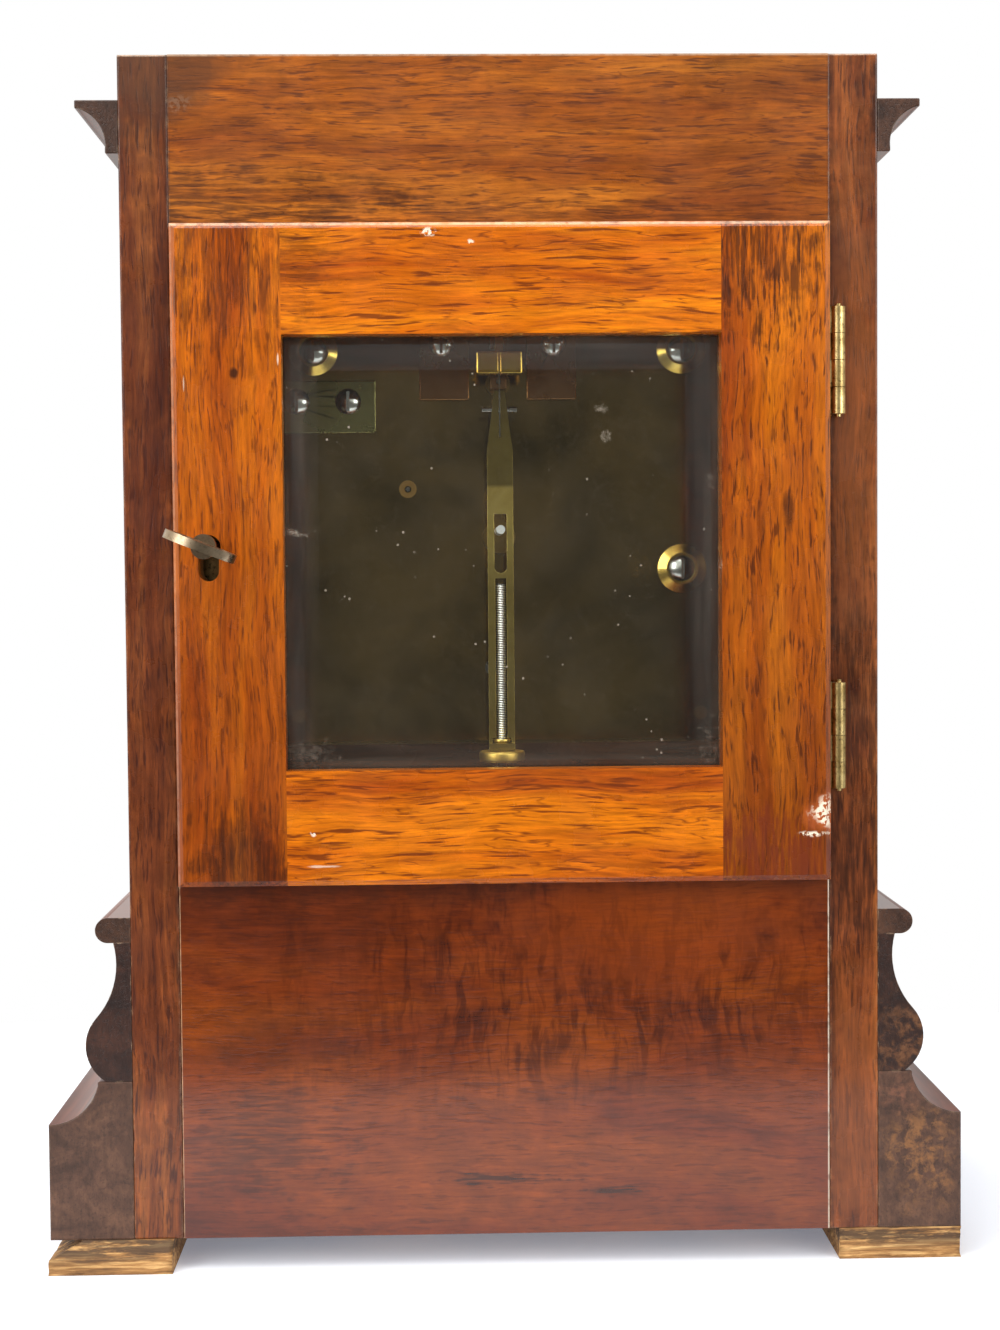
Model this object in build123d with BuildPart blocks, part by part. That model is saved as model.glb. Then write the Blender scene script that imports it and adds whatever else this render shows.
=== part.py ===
from build123d import *
from math import atan2, cos, hypot, pi, radians, sin
import os

os.makedirs("parts", exist_ok=True)

# Mantel clock. Millimetres. X runs to the right seen from the dial, Y towards the glazed back door, Z up.
# Heights are given above the underside of the case, and depths from the plane of the case's back.

# Case
case_width = 230.0
case_height = 361.0
case_depth = 138.0
board = 15.0
front_board = 14.0
thin_board = 12.0
lower_panel = 9.0
foot_height = 9.6
foot_width = 38.0
foot_depth = 40.0
foot_bevel = 10.0
foot_stray = 4.0
housing = 4.0
mitre_gap = 0.05

# Mouldings, as projection from the case and height
cornice_drop = 13.5
cornice_height = 16.0
cornice_out = 13.0
cornice_foot = 4.0
cornice_lip = 2.5
ledge_bottom = 92.0
ledge_top = 99.7
ledge_out = 10.8
ogee_top_out = 5.3
ogee_bulge_out = 14.2
ogee_bulge_height = 59.5
ogee_turn_out = 10.9
ogee_turn_height = 68.8
ogee_foot_out = 8.2
plinth_top = 49.2
plinth_shoulder = 36.0
plinth_out = 26.0
plinth_top_out = 10.8

# Back door
door_bottom = 109.9
door_top = 309.5
door_gap = 0.7
door_thickness = 14.0
door_proud = 8.0
door_chamfer = 1.8
stile = 33.2
top_rail = 33.4
bottom_rail = 35.0
rebate = 6.0
glass_thickness = 4.0
glass_setback = 6.0
glass_bevel = 16.0
glass_edge = 2.2
glass_gap = 0.3
bead_width = 5.4

# Butt hinges of the door
hinge_length = 32.5
hinge_upper = 268.0
hinge_lower = 153.8
hinge_axis_in = 2.4
hinge_axis_out = 2.6
knuckle_radius = 2.2
knuckle_count = 4
knuckle_gap = 0.15
hinge_pin_radius = 0.9
hinge_pin_tip = 0.8
leaf = 1.2
leaf_depth = 12.0
leaf_clear = 0.3
running = 0.08

# Lock and key
key_inset = 10.7
key_height = 212.6
key_reach = 30.0
key_tilt = 21.5
keyhole_radius = 3.7
keyhole_slot = 6.2
keyhole_drop = 10.2
shank_radius = 2.5
pipe_radius = 1.3
bow_width = 22.0
bow_length = 17.0
bow_thickness = 2.6
bit_reach = 6.5
bit_thickness = 2.2
bit_from = 7.2
bit_to = 11.2
lock_wall = 1.2
lock_inset = 1.3
lock_width = 23.0
lock_below = 14.6
lock_above = 21.4
lock_depth = 10.0
bolt_from = 7.6
bolt_to = 12.0
bolt_low = 3.4
bolt_notch = 7.2
bolt_high = 12.0
bolt_tail = 11.8
bolt_lug = 8.0
bolt_head = 6.8
bolt_throw = 5.0
strike_clear = 0.5

# Movement frame
plate_half = 75.0
plate_bottom = 149.0
plate_rim = 1.0
plate = 3.0
plate_depth = 46.0
motion_room = 14.5
pillar_radius = 4.5
pillar_x = 60.0
pillar_top = 277.0
pillar_mid = 205.4
pillar_low = 158.0
pillar_low_x = 66.0
collar_radius = 8.0
collar_thickness = 2.4
collar_dish = 5.0
collar_slope = 1.5
collar_lip = 0.2
dish_depth = 1.2
big_head = 4.4
big_head_edge = 0.8
big_head_rise = 1.8
small_head = 4.2
small_head_rise = 1.8
front_head = 3.2
front_head_rise = 1.6
big_shank = 1.9
small_shank = 1.5
shank_length = 12.0
slot_width = 1.0
slot_depth = 1.0
seat = 12.0
seat_lip = 6.0
seat_gap = 4.0

# Train: places across the plates and tooth counts
barrel_x = 2.4
barrel_height = 173.5
center_height = 211.0
third_x = 29.6
third_height = 232.0
escape_height = 250.0
pallet_rise = 16.0
barrel_teeth = 96
center_teeth = 84
third_teeth = 80
pinion_leaves = 8
escape_teeth = 40
escape_radius = 11.75
escape_root = 9.4
cannon_teeth = 14
minute_teeth = 42
minute_leaves = 12
hour_teeth = 48
motion_module = 0.6
motion_angle = 160.0
wheel = 2.0
pinion_length = 5.0
pivot_radius = 0.7
pivot_clear = 0.06
shake = 0.3

# Tooth form: tip and root in modules, tooth share of the pitch, width left at half height and at the point
wheel_form = (1.0, 1.45, 0.45, 0.74, 0.32)
pinion_form = (0.62, 1.4, 0.38, 0.80, 0.50)

# Room between the plates: the drum and the escape wheel from the back plate, the other wheels from the front one
drum_off = 3.0
drum_clear = 8.0
drum_radius = 31.5
drum_wall = 1.5
barrel_flange = 3.0
center_wheel_off = 17.0
third_wheel_off = 9.0
escape_wheel_off = 17.0
escape_wheel_thickness = 1.5
barrel_arbor_radius = 2.6
barrel_core = 6.0
arbor_radius = 1.6
center_post = 1.45
ratchet_teeth = 24
ratchet_radius = 11.0
ratchet_root = 9.2
ratchet_thickness = 2.0
winding_square = 3.4
click_distance = 17.5
click_angle = 35.0
spring_pitch = 3.0
spring_ribbon = 0.5
spring_turns = 7

# Pendulum and crutch
rod_depth = 25.0
rod_thickness = 2.0
rod_half = 4.1
rod_top_half = 1.6
rod_top = 262.0
rod_shoulder = 243.0
rod_foot = 148.0
rod_slit = 0.35
rod_slit_bottom = 247.0
crutch_slot_half = 2.0
crutch_slot_top = 223.0
crutch_slot_bottom = 204.3
screw_slot_half = 1.8
screw_slot_top = 202.6
foot_block = 2.2
foot_block_depth = 6.8
strip_half = 0.15
strip_width = 6.0
cross_pin_height = 256.0
cross_pin_radius = 0.9
cross_pin_half = 5.5
chops_half = 7.25
chops_rise = 1.2
chops_height = 7.0
chops_depth = 8.0
chops_neck = 1.3
chops_split = 0.4
chops_split_depth = 1.2
nut_radius = 7.25
nut_thickness = 3.4
nut_neck = 2.15
nut_flange = 2.75
nut_flange_height = 1.0
screw_radius = 1.6
screw_core = 1.28
screw_pitch = 0.75
screw_top = 201.0
screw_thread_bottom = 138.0
bob_radius = 27.0
bob_thickness = 18.0
bob_height = 84.0
bob_stem = 3.0
crutch_pin_height = 218.0
crutch_pin_radius = 1.4
crutch_boss_height = 216.0
crutch_boss_radius = 5.25
crutch_bar = 4.0
crutch_gap = 0.8
crutch_sheet = 1.6
crutch_pin_past = 4.0

# Suspension cock and side bracket
cock_inner = 9.5
cock_outer = 25.5
cock_screw_x = 18.3
cock_screw_rise = 13.0
cock_leg = 18.2
cock_head = 10.8
cock_bar = 6.0
cock_foot = 3.0
cock_off = 3.5
cock_thickness = 6.5
cock_tongue = 2.6
cock_arm = 4.0
cock_arm_past = 5.0
bracket_x = 39.9
bracket_bottom = 250.4
bracket_top = 267.2
bracket_screws = (48.7, 65.4)
bracket_screw_height = 260.5
bracket_flange = 18.0
bracket_sheet = 2.0

# Dial, hands and bezel
aperture = 75.0
dial_radius = 82.0
dial_sheet = 1.5
dial_hole = 5.0
dial_foot_radius = 1.5
dial_foot_circle = 70.0
minute_length = 62.0
hour_length = 43.0
hand_sheet = 0.8
minute_turn = 60.0
hour_turn = 305.0
cannon_pipe = 2.3
hour_bore = 2.45
hour_pipe = 3.4
bezel_radius = 88.0
bezel_bore = 74.5
bezel_seat = 77.3
bezel_height = 8.0
bezel_off = 0.4
bezel_rebate = 3.6
bezel_glass_sheet = 1.7
bezel_dome = 7.0
bezel_hinge_out = 4.0
bezel_knuckle = 1.8
bezel_pin = 0.8
bezel_knuckle_half = 3.0
bezel_leaf_half = 8.0

# Values worked out from the sizes above
half_width = case_width / 2
inner_half = half_width - board
y_back = (case_depth + plinth_out - door_proud - key_reach) / 2
y_front = y_back - case_depth
cornice_top = case_height - cornice_drop
cornice_bottom = cornice_top - cornice_height
front_from = case_depth - front_board
dial_from = front_from - dial_sheet
front_face = dial_from - motion_room
front_plate_depth = front_face - plate
inner_face = plate_depth + plate
seat_back = plate_depth - seat_lip
seat_front = front_from - seat_gap
third_wheel_at = front_plate_depth - third_wheel_off
center_wheel_at = front_plate_depth - center_wheel_off
escape_wheel_at = inner_face + escape_wheel_off
drum_from = inner_face + drum_off
drum_to = center_wheel_at - drum_clear
flex_height = escape_height + pallet_rise
chops_bottom = flex_height + chops_rise
chops_top = chops_bottom + chops_height
cock_screw_height = flex_height + cock_screw_rise
cock_bottom = cock_screw_height - cock_leg
cock_top = cock_screw_height + cock_head
cock_bar_bottom = cock_top - cock_bar
cock_front = plate_depth - cock_off
cock_back = cock_front - cock_thickness
cock_arm_end = rod_depth - cock_arm_past
plate_top = cock_top + plate_rim
crutch_back = plate_depth - crutch_gap
crutch_front = crutch_back - crutch_sheet
crutch_pin_end = rod_depth - crutch_pin_past
opening_bottom = door_bottom - door_gap
opening_top = door_top + door_gap
door_half = inner_half - door_gap
door_back = -door_proud
door_front = door_thickness - door_proud
key_x = door_half - key_inset
lock_edge = door_half - lock_inset
sight_half = door_half - stile
sight_bottom = door_bottom + bottom_rail
sight_top = door_top - top_rail
glass_from = door_back + glass_setback
glass_to = glass_from + glass_thickness
hinge_x = -(inner_half + hinge_axis_in)
rod_middle = rod_depth + rod_thickness / 2
motion_distance = motion_module * (cannon_teeth + minute_teeth) / 2
hour_module = 2 * motion_distance / (hour_teeth + minute_leaves)


def up(height):
    """Height above the underside of the case, as Z."""
    return foot_height + height


def y_at(depth):
    """Depth from the back of the case, as Y."""
    return y_back - depth


def depth_plane(depth):
    """Upright plane at a depth, with its normal towards the dial."""
    return Plane.XZ.offset(-y_at(depth))


def slab(x_from, x_to, depth_from, depth_to, z_from, z_to, mode=Mode.ADD):
    """Box between two values each way."""
    with Locations(((x_from + x_to) / 2, y_at((depth_from + depth_to) / 2), (z_from + z_to) / 2)):
        Box(abs(x_to - x_from), abs(depth_to - depth_from), abs(z_to - z_from), mode=mode)


def rod_y(spot, depth_from, depth_to, radius, mode=Mode.ADD):
    """Round bar along Y through a spot (x, z)."""
    with Locations((spot[0], y_at((depth_from + depth_to) / 2), spot[1])):
        Cylinder(radius, abs(depth_to - depth_from), rotation=(90, 0, 0), mode=mode)


def dome(spot, seat_depth, radius, rise):
    """Domed screw head on a seat, rising towards the back, or towards the dial for a rise below zero."""
    foot = (spot[0], y_at(seat_depth), spot[1])
    with BuildSketch(Plane(origin=foot, x_dir=(1, 0, 0), z_dir=(0, 0, 1))) as section:
        with BuildLine():
            TangentArc((0, rise), (radius, 0), tangent=(1, 0))
            Polyline((radius, 0), (0, 0), (0, rise))
        make_face()
    revolve(section.sketch, axis=Axis(foot, (0, 1, 0)))


def rod_z(x, depth, z_from, z_to, radius, mode=Mode.ADD):
    """Upright round bar."""
    with Locations((x, y_at(depth), (z_from + z_to) / 2)):
        Cylinder(radius, z_to - z_from, mode=mode)


def rod_x(x_from, x_to, depth, z, radius, mode=Mode.ADD):
    """Round bar along X."""
    with Locations(((x_from + x_to) / 2, y_at(depth), z)):
        Cylinder(radius, x_to - x_from, rotation=(0, 90, 0), mode=mode)


def turned(spot, radius, angle):
    """Point at a radius and angle, in degrees, round a spot (x, z)."""
    return (spot[0] + radius * cos(radians(angle)), spot[1] + radius * sin(radians(angle)))


def apart(first, second):
    """Distance between two spots."""
    return hypot(second[0] - first[0], second[1] - first[1])


def bearing(first, second):
    """Direction from one spot to another, in degrees."""
    return atan2(second[1] - first[1], second[0] - first[0]) * 180 / pi


def tooth_points(spot, teeth, module, turn, form):
    """Outline of a toothed rim, with one tooth centred on the angle turn."""
    tip, root, share, half_way, point = form
    radius = module * teeth / 2
    step = 360 / teeth
    half = share * step / 2
    flank = (
        (radius - root * module, half),
        (radius, half),
        (radius + tip * module / 2, half * half_way),
        (radius + tip * module, half * point),
    )
    points = []
    for tooth in range(teeth):
        middle = turn + tooth * step
        points += [turned(spot, r, middle - off) for r, off in flank]
        points += [turned(spot, r, middle + off) for r, off in reversed(flank)]
    return points


def saw_points(spot, teeth, tip_radius, root_radius, lean):
    """Outline of a ratchet or escape wheel rim, whose teeth lean by a share of the pitch."""
    step = 360 / teeth
    points = []
    for tooth in range(teeth):
        start = tooth * step
        points.append(turned(spot, root_radius, start))
        points.append(turned(spot, tip_radius, start + lean * step))
        points.append(turned(spot, tip_radius, start + (lean + 0.12) * step))
        points.append(turned(spot, root_radius, start + (lean + 0.12) * step))
    return points


def rim_face(points, depth):
    """Flat face inside a toothed outline."""
    with BuildSketch(depth_plane(depth)) as face:
        with BuildLine():
            Polyline(*points, close=True)
        make_face()
    return face.sketch


def crossed_face(points, spot, depth, rim, hub, bore, arms, arm_width):
    """Toothed wheel crossed out to a rim, a hub and a few arms."""
    with BuildSketch(depth_plane(depth)) as face:
        with BuildLine():
            Polyline(*points, close=True)
        make_face()
        with Locations(spot):
            Circle(rim, mode=Mode.SUBTRACT)
            Circle(hub)
            with PolarLocations((rim + hub) / 2, arms):
                Rectangle(rim - hub + arm_width / 2, arm_width)
            Circle(bore, mode=Mode.SUBTRACT)
    return face.sketch


def side_run(draw, hand):
    """Length of moulding along one side of the case, mitred at the front."""
    with BuildPart() as run:
        with BuildSketch(depth_plane(0)):
            with BuildLine():
                draw(lambda out, height: (hand * (half_width + out), up(height)))
            make_face()
        extrude(amount=case_depth + plinth_out)
        corner = (hand * half_width, y_front + mitre_gap, 0)
        split(bisect_by=Plane(origin=corner, z_dir=(hand, 1, 0)), keep=Keep.TOP)
    return run.part


def front_run(draw):
    """Length of moulding across the front of the case, mitred at both ends."""
    with BuildPart() as run:
        with BuildSketch(Plane.YZ.offset(-half_width - plinth_out)):
            with BuildLine():
                draw(lambda out, height: (y_front - out, up(height)))
            make_face()
        extrude(amount=case_width + 2 * plinth_out)
        for hand in (-1, 1):
            corner = (hand * half_width, y_front - mitre_gap, 0)
            split(bisect_by=Plane(origin=corner, z_dir=(hand, 1, 0)), keep=Keep.BOTTOM)
    return run.part


def three_runs(draw):
    """Moulding round both sides and the front."""
    return [side_run(draw, -1), side_run(draw, 1), front_run(draw)]


def keep(builder, name):
    """Label a piece and write its file."""
    builder.part.label = name
    export_step(builder.part, f"parts/{name}.step")


def knuckle_span(centre, index):
    """Lower and upper end of one knuckle, counted from the top of a hinge."""
    pitch = hinge_length / knuckle_count
    top = centre + hinge_length / 2 - index * pitch
    return top - pitch + knuckle_gap / 2, top - knuckle_gap / 2


hinge_centres = (up(hinge_upper), up(hinge_lower))
barrel_spot = (barrel_x, up(barrel_height))
center_spot = (0.0, up(center_height))
third_spot = (third_x, up(third_height))
escape_spot = (0.0, up(escape_height))
flex_spot = (0.0, up(flex_height))
minute_spot = turned(center_spot, motion_distance, motion_angle)
click_spot = turned(barrel_spot, click_distance, click_angle)
key_spot = (key_x, up(key_height))
screwed_pillars = ((-pillar_x, up(pillar_top)), (pillar_x, up(pillar_top)), (-pillar_x, up(pillar_mid)))
riveted_pillars = ((-pillar_low_x, up(pillar_low)), (pillar_low_x, up(pillar_low)))
cock_screws = ((-cock_screw_x, up(cock_screw_height)), (cock_screw_x, up(cock_screw_height)))
side_screws = [(x, up(bracket_screw_height)) for x in bracket_screws]
barrel_module = 2 * apart(barrel_spot, center_spot) / (barrel_teeth + pinion_leaves)
center_module = 2 * apart(center_spot, third_spot) / (center_teeth + pinion_leaves)
third_module = 2 * apart(third_spot, escape_spot) / (third_teeth + pinion_leaves)
half_leaf = 180 / pinion_leaves

# Side boards, with the hinge recesses or the bolt's mortise and the groove for the seat board
with BuildPart() as side_panel_left:
    slab(-half_width, -inner_half, 0, front_from, up(0), up(case_height))
    slab(-inner_half - housing, -inner_half, seat_back, seat_front,
         up(plate_bottom - seat), up(plate_bottom), Mode.SUBTRACT)
    for centre in hinge_centres:
        slab(-inner_half - leaf, -inner_half, 0, leaf_depth,
             centre - hinge_length / 2, centre + hinge_length / 2, Mode.SUBTRACT)
keep(side_panel_left, "side_panel_left")

with BuildPart() as side_panel_right:
    slab(inner_half, half_width, 0, front_from, up(0), up(case_height))
    slab(inner_half, inner_half + housing, seat_back, seat_front,
         up(plate_bottom - seat), up(plate_bottom), Mode.SUBTRACT)
    slab(inner_half, lock_edge + bolt_throw + 1, bolt_from - strike_clear, bolt_to + strike_clear,
         key_spot[1] + bolt_low - strike_clear, key_spot[1] + bolt_high + strike_clear, Mode.SUBTRACT)
keep(side_panel_right, "side_panel_right")

# Boards between the sides
with BuildPart() as top_board:
    slab(-inner_half, inner_half, thin_board, front_from, up(case_height - thin_board), up(case_height))
keep(top_board, "top_board")

with BuildPart() as floor_board:
    slab(-inner_half, inner_half, lower_panel, front_from, up(0), up(thin_board))
keep(floor_board, "floor_board")

with BuildPart() as back_top_rail:
    slab(-inner_half, inner_half, 0, thin_board, up(opening_top), up(case_height))
keep(back_top_rail, "back_top_rail")

with BuildPart() as back_lower_panel:
    slab(-inner_half, inner_half, 0, lower_panel, up(0), up(opening_bottom))
keep(back_lower_panel, "back_lower_panel")

# Front board with the round opening for the dial
with BuildPart() as front_panel:
    slab(-half_width, half_width, front_from, case_depth, up(0), up(case_height))
    rod_y(center_spot, front_from, case_depth, aperture, Mode.SUBTRACT)
keep(front_panel, "front_panel")


# Mouldings: a coved cornice, a bullnosed ledge, an ogee and a coved plinth
def cornice_lines(at):
    tip_low = cornice_top - cornice_lip
    cove_foot = cornice_bottom + cornice_lip / 2
    cove_tip = cornice_out - cornice_lip / 3
    cove_out = cornice_foot + (cove_tip - cornice_foot) * 0.22
    cove_height = cove_foot + (tip_low - cove_foot) * 0.62
    Polyline(at(cove_tip, tip_low), at(cornice_out, tip_low), at(cornice_out, cornice_top), at(0, cornice_top),
             at(0, cornice_bottom), at(cornice_foot, cornice_bottom), at(cornice_foot, cove_foot))
    ThreePointArc(at(cornice_foot, cove_foot), at(cove_out, cove_height), at(cove_tip, tip_low))


def ledge_lines(at):
    nose = (ledge_top - ledge_bottom) / 2
    Polyline(at(ledge_out - nose, ledge_top), at(0, ledge_top), at(0, ledge_bottom),
             at(ledge_out - nose, ledge_bottom))
    ThreePointArc(at(ledge_out - nose, ledge_bottom), at(ledge_out, ledge_bottom + nose),
                  at(ledge_out - nose, ledge_top))


def ogee_lines(at):
    bulge = ThreePointArc(at(ogee_foot_out, plinth_top), at(ogee_bulge_out, ogee_bulge_height),
                          at(ogee_turn_out, ogee_turn_height))
    TangentArc(bulge @ 1, at(ogee_top_out, ledge_bottom), tangent=bulge % 1)
    Polyline(at(ogee_top_out, ledge_bottom), at(0, ledge_bottom), at(0, plinth_top),
             at(ogee_foot_out, plinth_top))


def plinth_lines(at):
    cove_top = plinth_top - 1.4
    cove_out = plinth_top_out + (plinth_out - plinth_top_out) * 0.29
    cove_height = plinth_shoulder + (cove_top - plinth_shoulder) * 0.36
    Polyline(at(plinth_top_out, cove_top), at(plinth_top_out, plinth_top), at(0, plinth_top), at(0, 0),
             at(plinth_out, 0), at(plinth_out, plinth_shoulder))
    ThreePointArc(at(plinth_out, plinth_shoulder), at(cove_out, cove_height), at(plinth_top_out, cove_top))


cornice_runs = three_runs(cornice_lines)
ledge_runs = three_runs(ledge_lines)
ogee_runs = three_runs(ogee_lines)
plinth_runs = three_runs(plinth_lines)

with BuildPart() as cornice_moulding:
    add(cornice_runs)
keep(cornice_moulding, "cornice_moulding")

with BuildPart() as waist_ledge:
    add(ledge_runs)
keep(waist_ledge, "waist_ledge")

with BuildPart() as ogee_moulding:
    add(ogee_runs)
keep(ogee_moulding, "ogee_moulding")

with BuildPart() as plinth_moulding:
    add(plinth_runs)
keep(plinth_moulding, "plinth_moulding")

# Four pads under the corners; the back pad on the key side is bevelled and strays past the back
pad_out = half_width + plinth_out
pad_in = pad_out - foot_width
front_edge = case_depth + plinth_out
with BuildPart() as foot_pads:
    slab(-pad_out, -pad_in, 0, foot_depth, 0, foot_height)
    slab(-pad_out, -pad_in, front_edge - foot_depth, front_edge, 0, foot_height)
    slab(pad_in, pad_out, front_edge - foot_depth, front_edge, 0, foot_height)
    slab(pad_in, pad_out, -foot_stray, foot_depth, 0, foot_height / 2)
    with BuildSketch(Plane.XY.offset(foot_height / 2)):
        with Locations(((pad_in + pad_out) / 2, y_at((foot_depth - foot_stray) / 2))):
            Rectangle(foot_width, foot_depth + foot_stray)
    with BuildSketch(Plane.XY.offset(foot_height)):
        with Locations(((pad_in + pad_out - foot_bevel) / 2, y_at(foot_depth / 2))):
            Rectangle(foot_width - foot_bevel, foot_depth)
    loft()
keep(foot_pads, "foot_pads")

# Seat board, open under the barrel
with BuildPart() as seat_board:
    slab(-inner_half - housing, inner_half + housing, seat_back, seat_front,
         up(plate_bottom - seat), up(plate_bottom))
    opening_half = barrel_module * barrel_teeth / 2 + wheel
    slab(barrel_x - opening_half, barrel_x + opening_half, inner_face, drum_to + 2 * barrel_flange,
         up(plate_bottom - seat), up(plate_bottom), Mode.SUBTRACT)
keep(seat_board, "seat_board")

# Door hinges: the leaves on the case, their pins, and the leaves on the door
with BuildPart() as hinge_case_leaves:
    for centre in hinge_centres:
        low = centre - hinge_length / 2
        high = centre + hinge_length / 2
        slab(-inner_half - leaf, -inner_half, leaf_clear, leaf_depth, low, high)
        for index in range(1, knuckle_count, 2):
            knuckle_low, knuckle_high = knuckle_span(centre, index)
            rod_z(hinge_x, -hinge_axis_out, knuckle_low, knuckle_high, knuckle_radius)
            slab(-inner_half - leaf, -inner_half, -hinge_axis_out, leaf_clear, knuckle_low, knuckle_high)
        rod_z(hinge_x, -hinge_axis_out, low, high, hinge_pin_radius, Mode.SUBTRACT)
keep(hinge_case_leaves, "hinge_case_leaves")

with BuildPart() as hinge_pins:
    for centre in hinge_centres:
        reach = hinge_length / 2 + hinge_pin_tip
        rod_z(hinge_x, -hinge_axis_out, centre - reach, centre + reach, hinge_pin_radius)
keep(hinge_pins, "hinge_pins")

web_from = -hinge_axis_out - leaf / 2
with BuildPart() as hinge_door_leaves:
    for centre in hinge_centres:
        low = centre - hinge_length / 2
        high = centre + hinge_length / 2
        slab(-door_half, -door_half + leaf, web_from, door_front - 1, low, high)
        for index in range(0, knuckle_count, 2):
            knuckle_low, knuckle_high = knuckle_span(centre, index)
            rod_z(hinge_x, -hinge_axis_out, knuckle_low, knuckle_high, knuckle_radius)
            slab(hinge_x, -door_half + leaf, web_from, web_from + leaf, knuckle_low, knuckle_high)
        rod_z(hinge_x, -hinge_axis_out, low, high, hinge_pin_radius + running, Mode.SUBTRACT)
keep(hinge_door_leaves, "hinge_door_leaves")

# Door frame: two full-height stiles with the rails between them, rebated for the glass
glass_half = sight_half + rebate
glass_bottom = up(sight_bottom - rebate)
glass_top = up(sight_top + rebate)
with BuildPart() as door_lock_stile:
    slab(sight_half, door_half, door_back, door_front, up(door_bottom), up(door_top))
    rear = door_lock_stile.faces().sort_by(Axis.Y)[-1]
    chamfer(rear.edges().sort_by(Axis.X)[1:], length=door_chamfer)
    slab(sight_half, glass_half, glass_from, door_front, glass_bottom, glass_top, Mode.SUBTRACT)
    rod_y(key_spot, door_back, door_front, keyhole_radius, Mode.SUBTRACT)
    slot_end = (key_x, key_spot[1] - keyhole_drop + keyhole_slot / 2)
    rod_y(slot_end, door_back, door_front, keyhole_slot / 2, Mode.SUBTRACT)
    slab(key_x - keyhole_slot / 2, key_x + keyhole_slot / 2, door_back, door_front,
         slot_end[1], key_spot[1], Mode.SUBTRACT)
keep(door_lock_stile, "door_lock_stile")

with BuildPart() as door_hinge_stile:
    slab(-door_half, -sight_half, door_back, door_front, up(door_bottom), up(door_top))
    rear = door_hinge_stile.faces().sort_by(Axis.Y)[-1]
    chamfer(rear.edges().sort_by(Axis.X)[:-1], length=door_chamfer)
    slab(-glass_half, -sight_half, glass_from, door_front, glass_bottom, glass_top, Mode.SUBTRACT)
    for centre in hinge_centres:
        slab(-door_half, -door_half + leaf, web_from, door_front - 1,
             centre - hinge_length / 2, centre + hinge_length / 2, Mode.SUBTRACT)
keep(door_hinge_stile, "door_hinge_stile")

with BuildPart() as door_top_rail:
    slab(-sight_half, sight_half, door_back, door_front, up(sight_top), up(door_top))
    rear = door_top_rail.faces().sort_by(Axis.Y)[-1]
    chamfer(rear.edges().sort_by(Axis.Z)[-1], length=door_chamfer)
    slab(-sight_half, sight_half, glass_from, door_front, up(sight_top), glass_top, Mode.SUBTRACT)
keep(door_top_rail, "door_top_rail")

with BuildPart() as door_bottom_rail:
    slab(-sight_half, sight_half, door_back, door_front, up(door_bottom), up(sight_bottom))
    rear = door_bottom_rail.faces().sort_by(Axis.Y)[-1]
    chamfer(rear.edges().sort_by(Axis.Z)[0], length=door_chamfer)
    slab(-sight_half, sight_half, glass_from, door_front, glass_bottom, up(sight_bottom), Mode.SUBTRACT)
keep(door_bottom_rail, "door_bottom_rail")

# Bevelled glass and the beads that hold it
with BuildPart() as door_glass:
    slab(-glass_half + glass_gap, glass_half - glass_gap, glass_from, glass_to,
         glass_bottom + glass_gap, glass_top - glass_gap)
    bevelled = door_glass.faces().sort_by(Axis.Y)[-1]
    chamfer(bevelled.edges(), length=glass_bevel, length2=glass_thickness - glass_edge, reference=bevelled)
keep(door_glass, "door_glass")

with BuildPart() as glass_beads:
    for hand in (-1, 1):
        slab(hand * (glass_half - bead_width), hand * glass_half, glass_to, door_front, glass_bottom, glass_top)
    bead_end = glass_half - bead_width - glass_gap
    slab(-bead_end, bead_end, glass_to, door_front, glass_bottom, glass_bottom + bead_width)
    slab(-bead_end, bead_end, glass_to, door_front, glass_top - bead_width, glass_top)
keep(glass_beads, "glass_beads")

# Lock: a case open towards the door, its pin for the pipe of the key, and the sliding bolt
lock_low = key_spot[1] - lock_below
lock_high = key_spot[1] + lock_above
lock_back = door_front + lock_depth
with BuildPart() as lock_case:
    slab(lock_edge - lock_width, lock_edge, door_front, lock_back, lock_low, lock_high)
    slab(lock_edge - lock_width + lock_wall, lock_edge - lock_wall, door_front, lock_back - lock_wall,
         lock_low + lock_wall, lock_high - lock_wall, Mode.SUBTRACT)
    slab(lock_edge - lock_wall, lock_edge, bolt_from - running, bolt_to + running,
         key_spot[1] + bolt_low - running, key_spot[1] + bolt_high + running, Mode.SUBTRACT)
    rod_y(key_spot, door_front - 2, lock_back - lock_wall, pipe_radius - running)
keep(lock_case, "lock_case")

with BuildPart() as lock_bolt:
    slab(key_x - bolt_tail, lock_edge, bolt_from, bolt_to, key_spot[1] + bolt_low, key_spot[1] + bolt_high)
    slab(key_x - bolt_lug, key_x + bolt_head, bolt_from, bolt_to,
         key_spot[1] + bolt_low, key_spot[1] + bolt_notch, Mode.SUBTRACT)
keep(lock_bolt, "lock_bolt")

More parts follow.
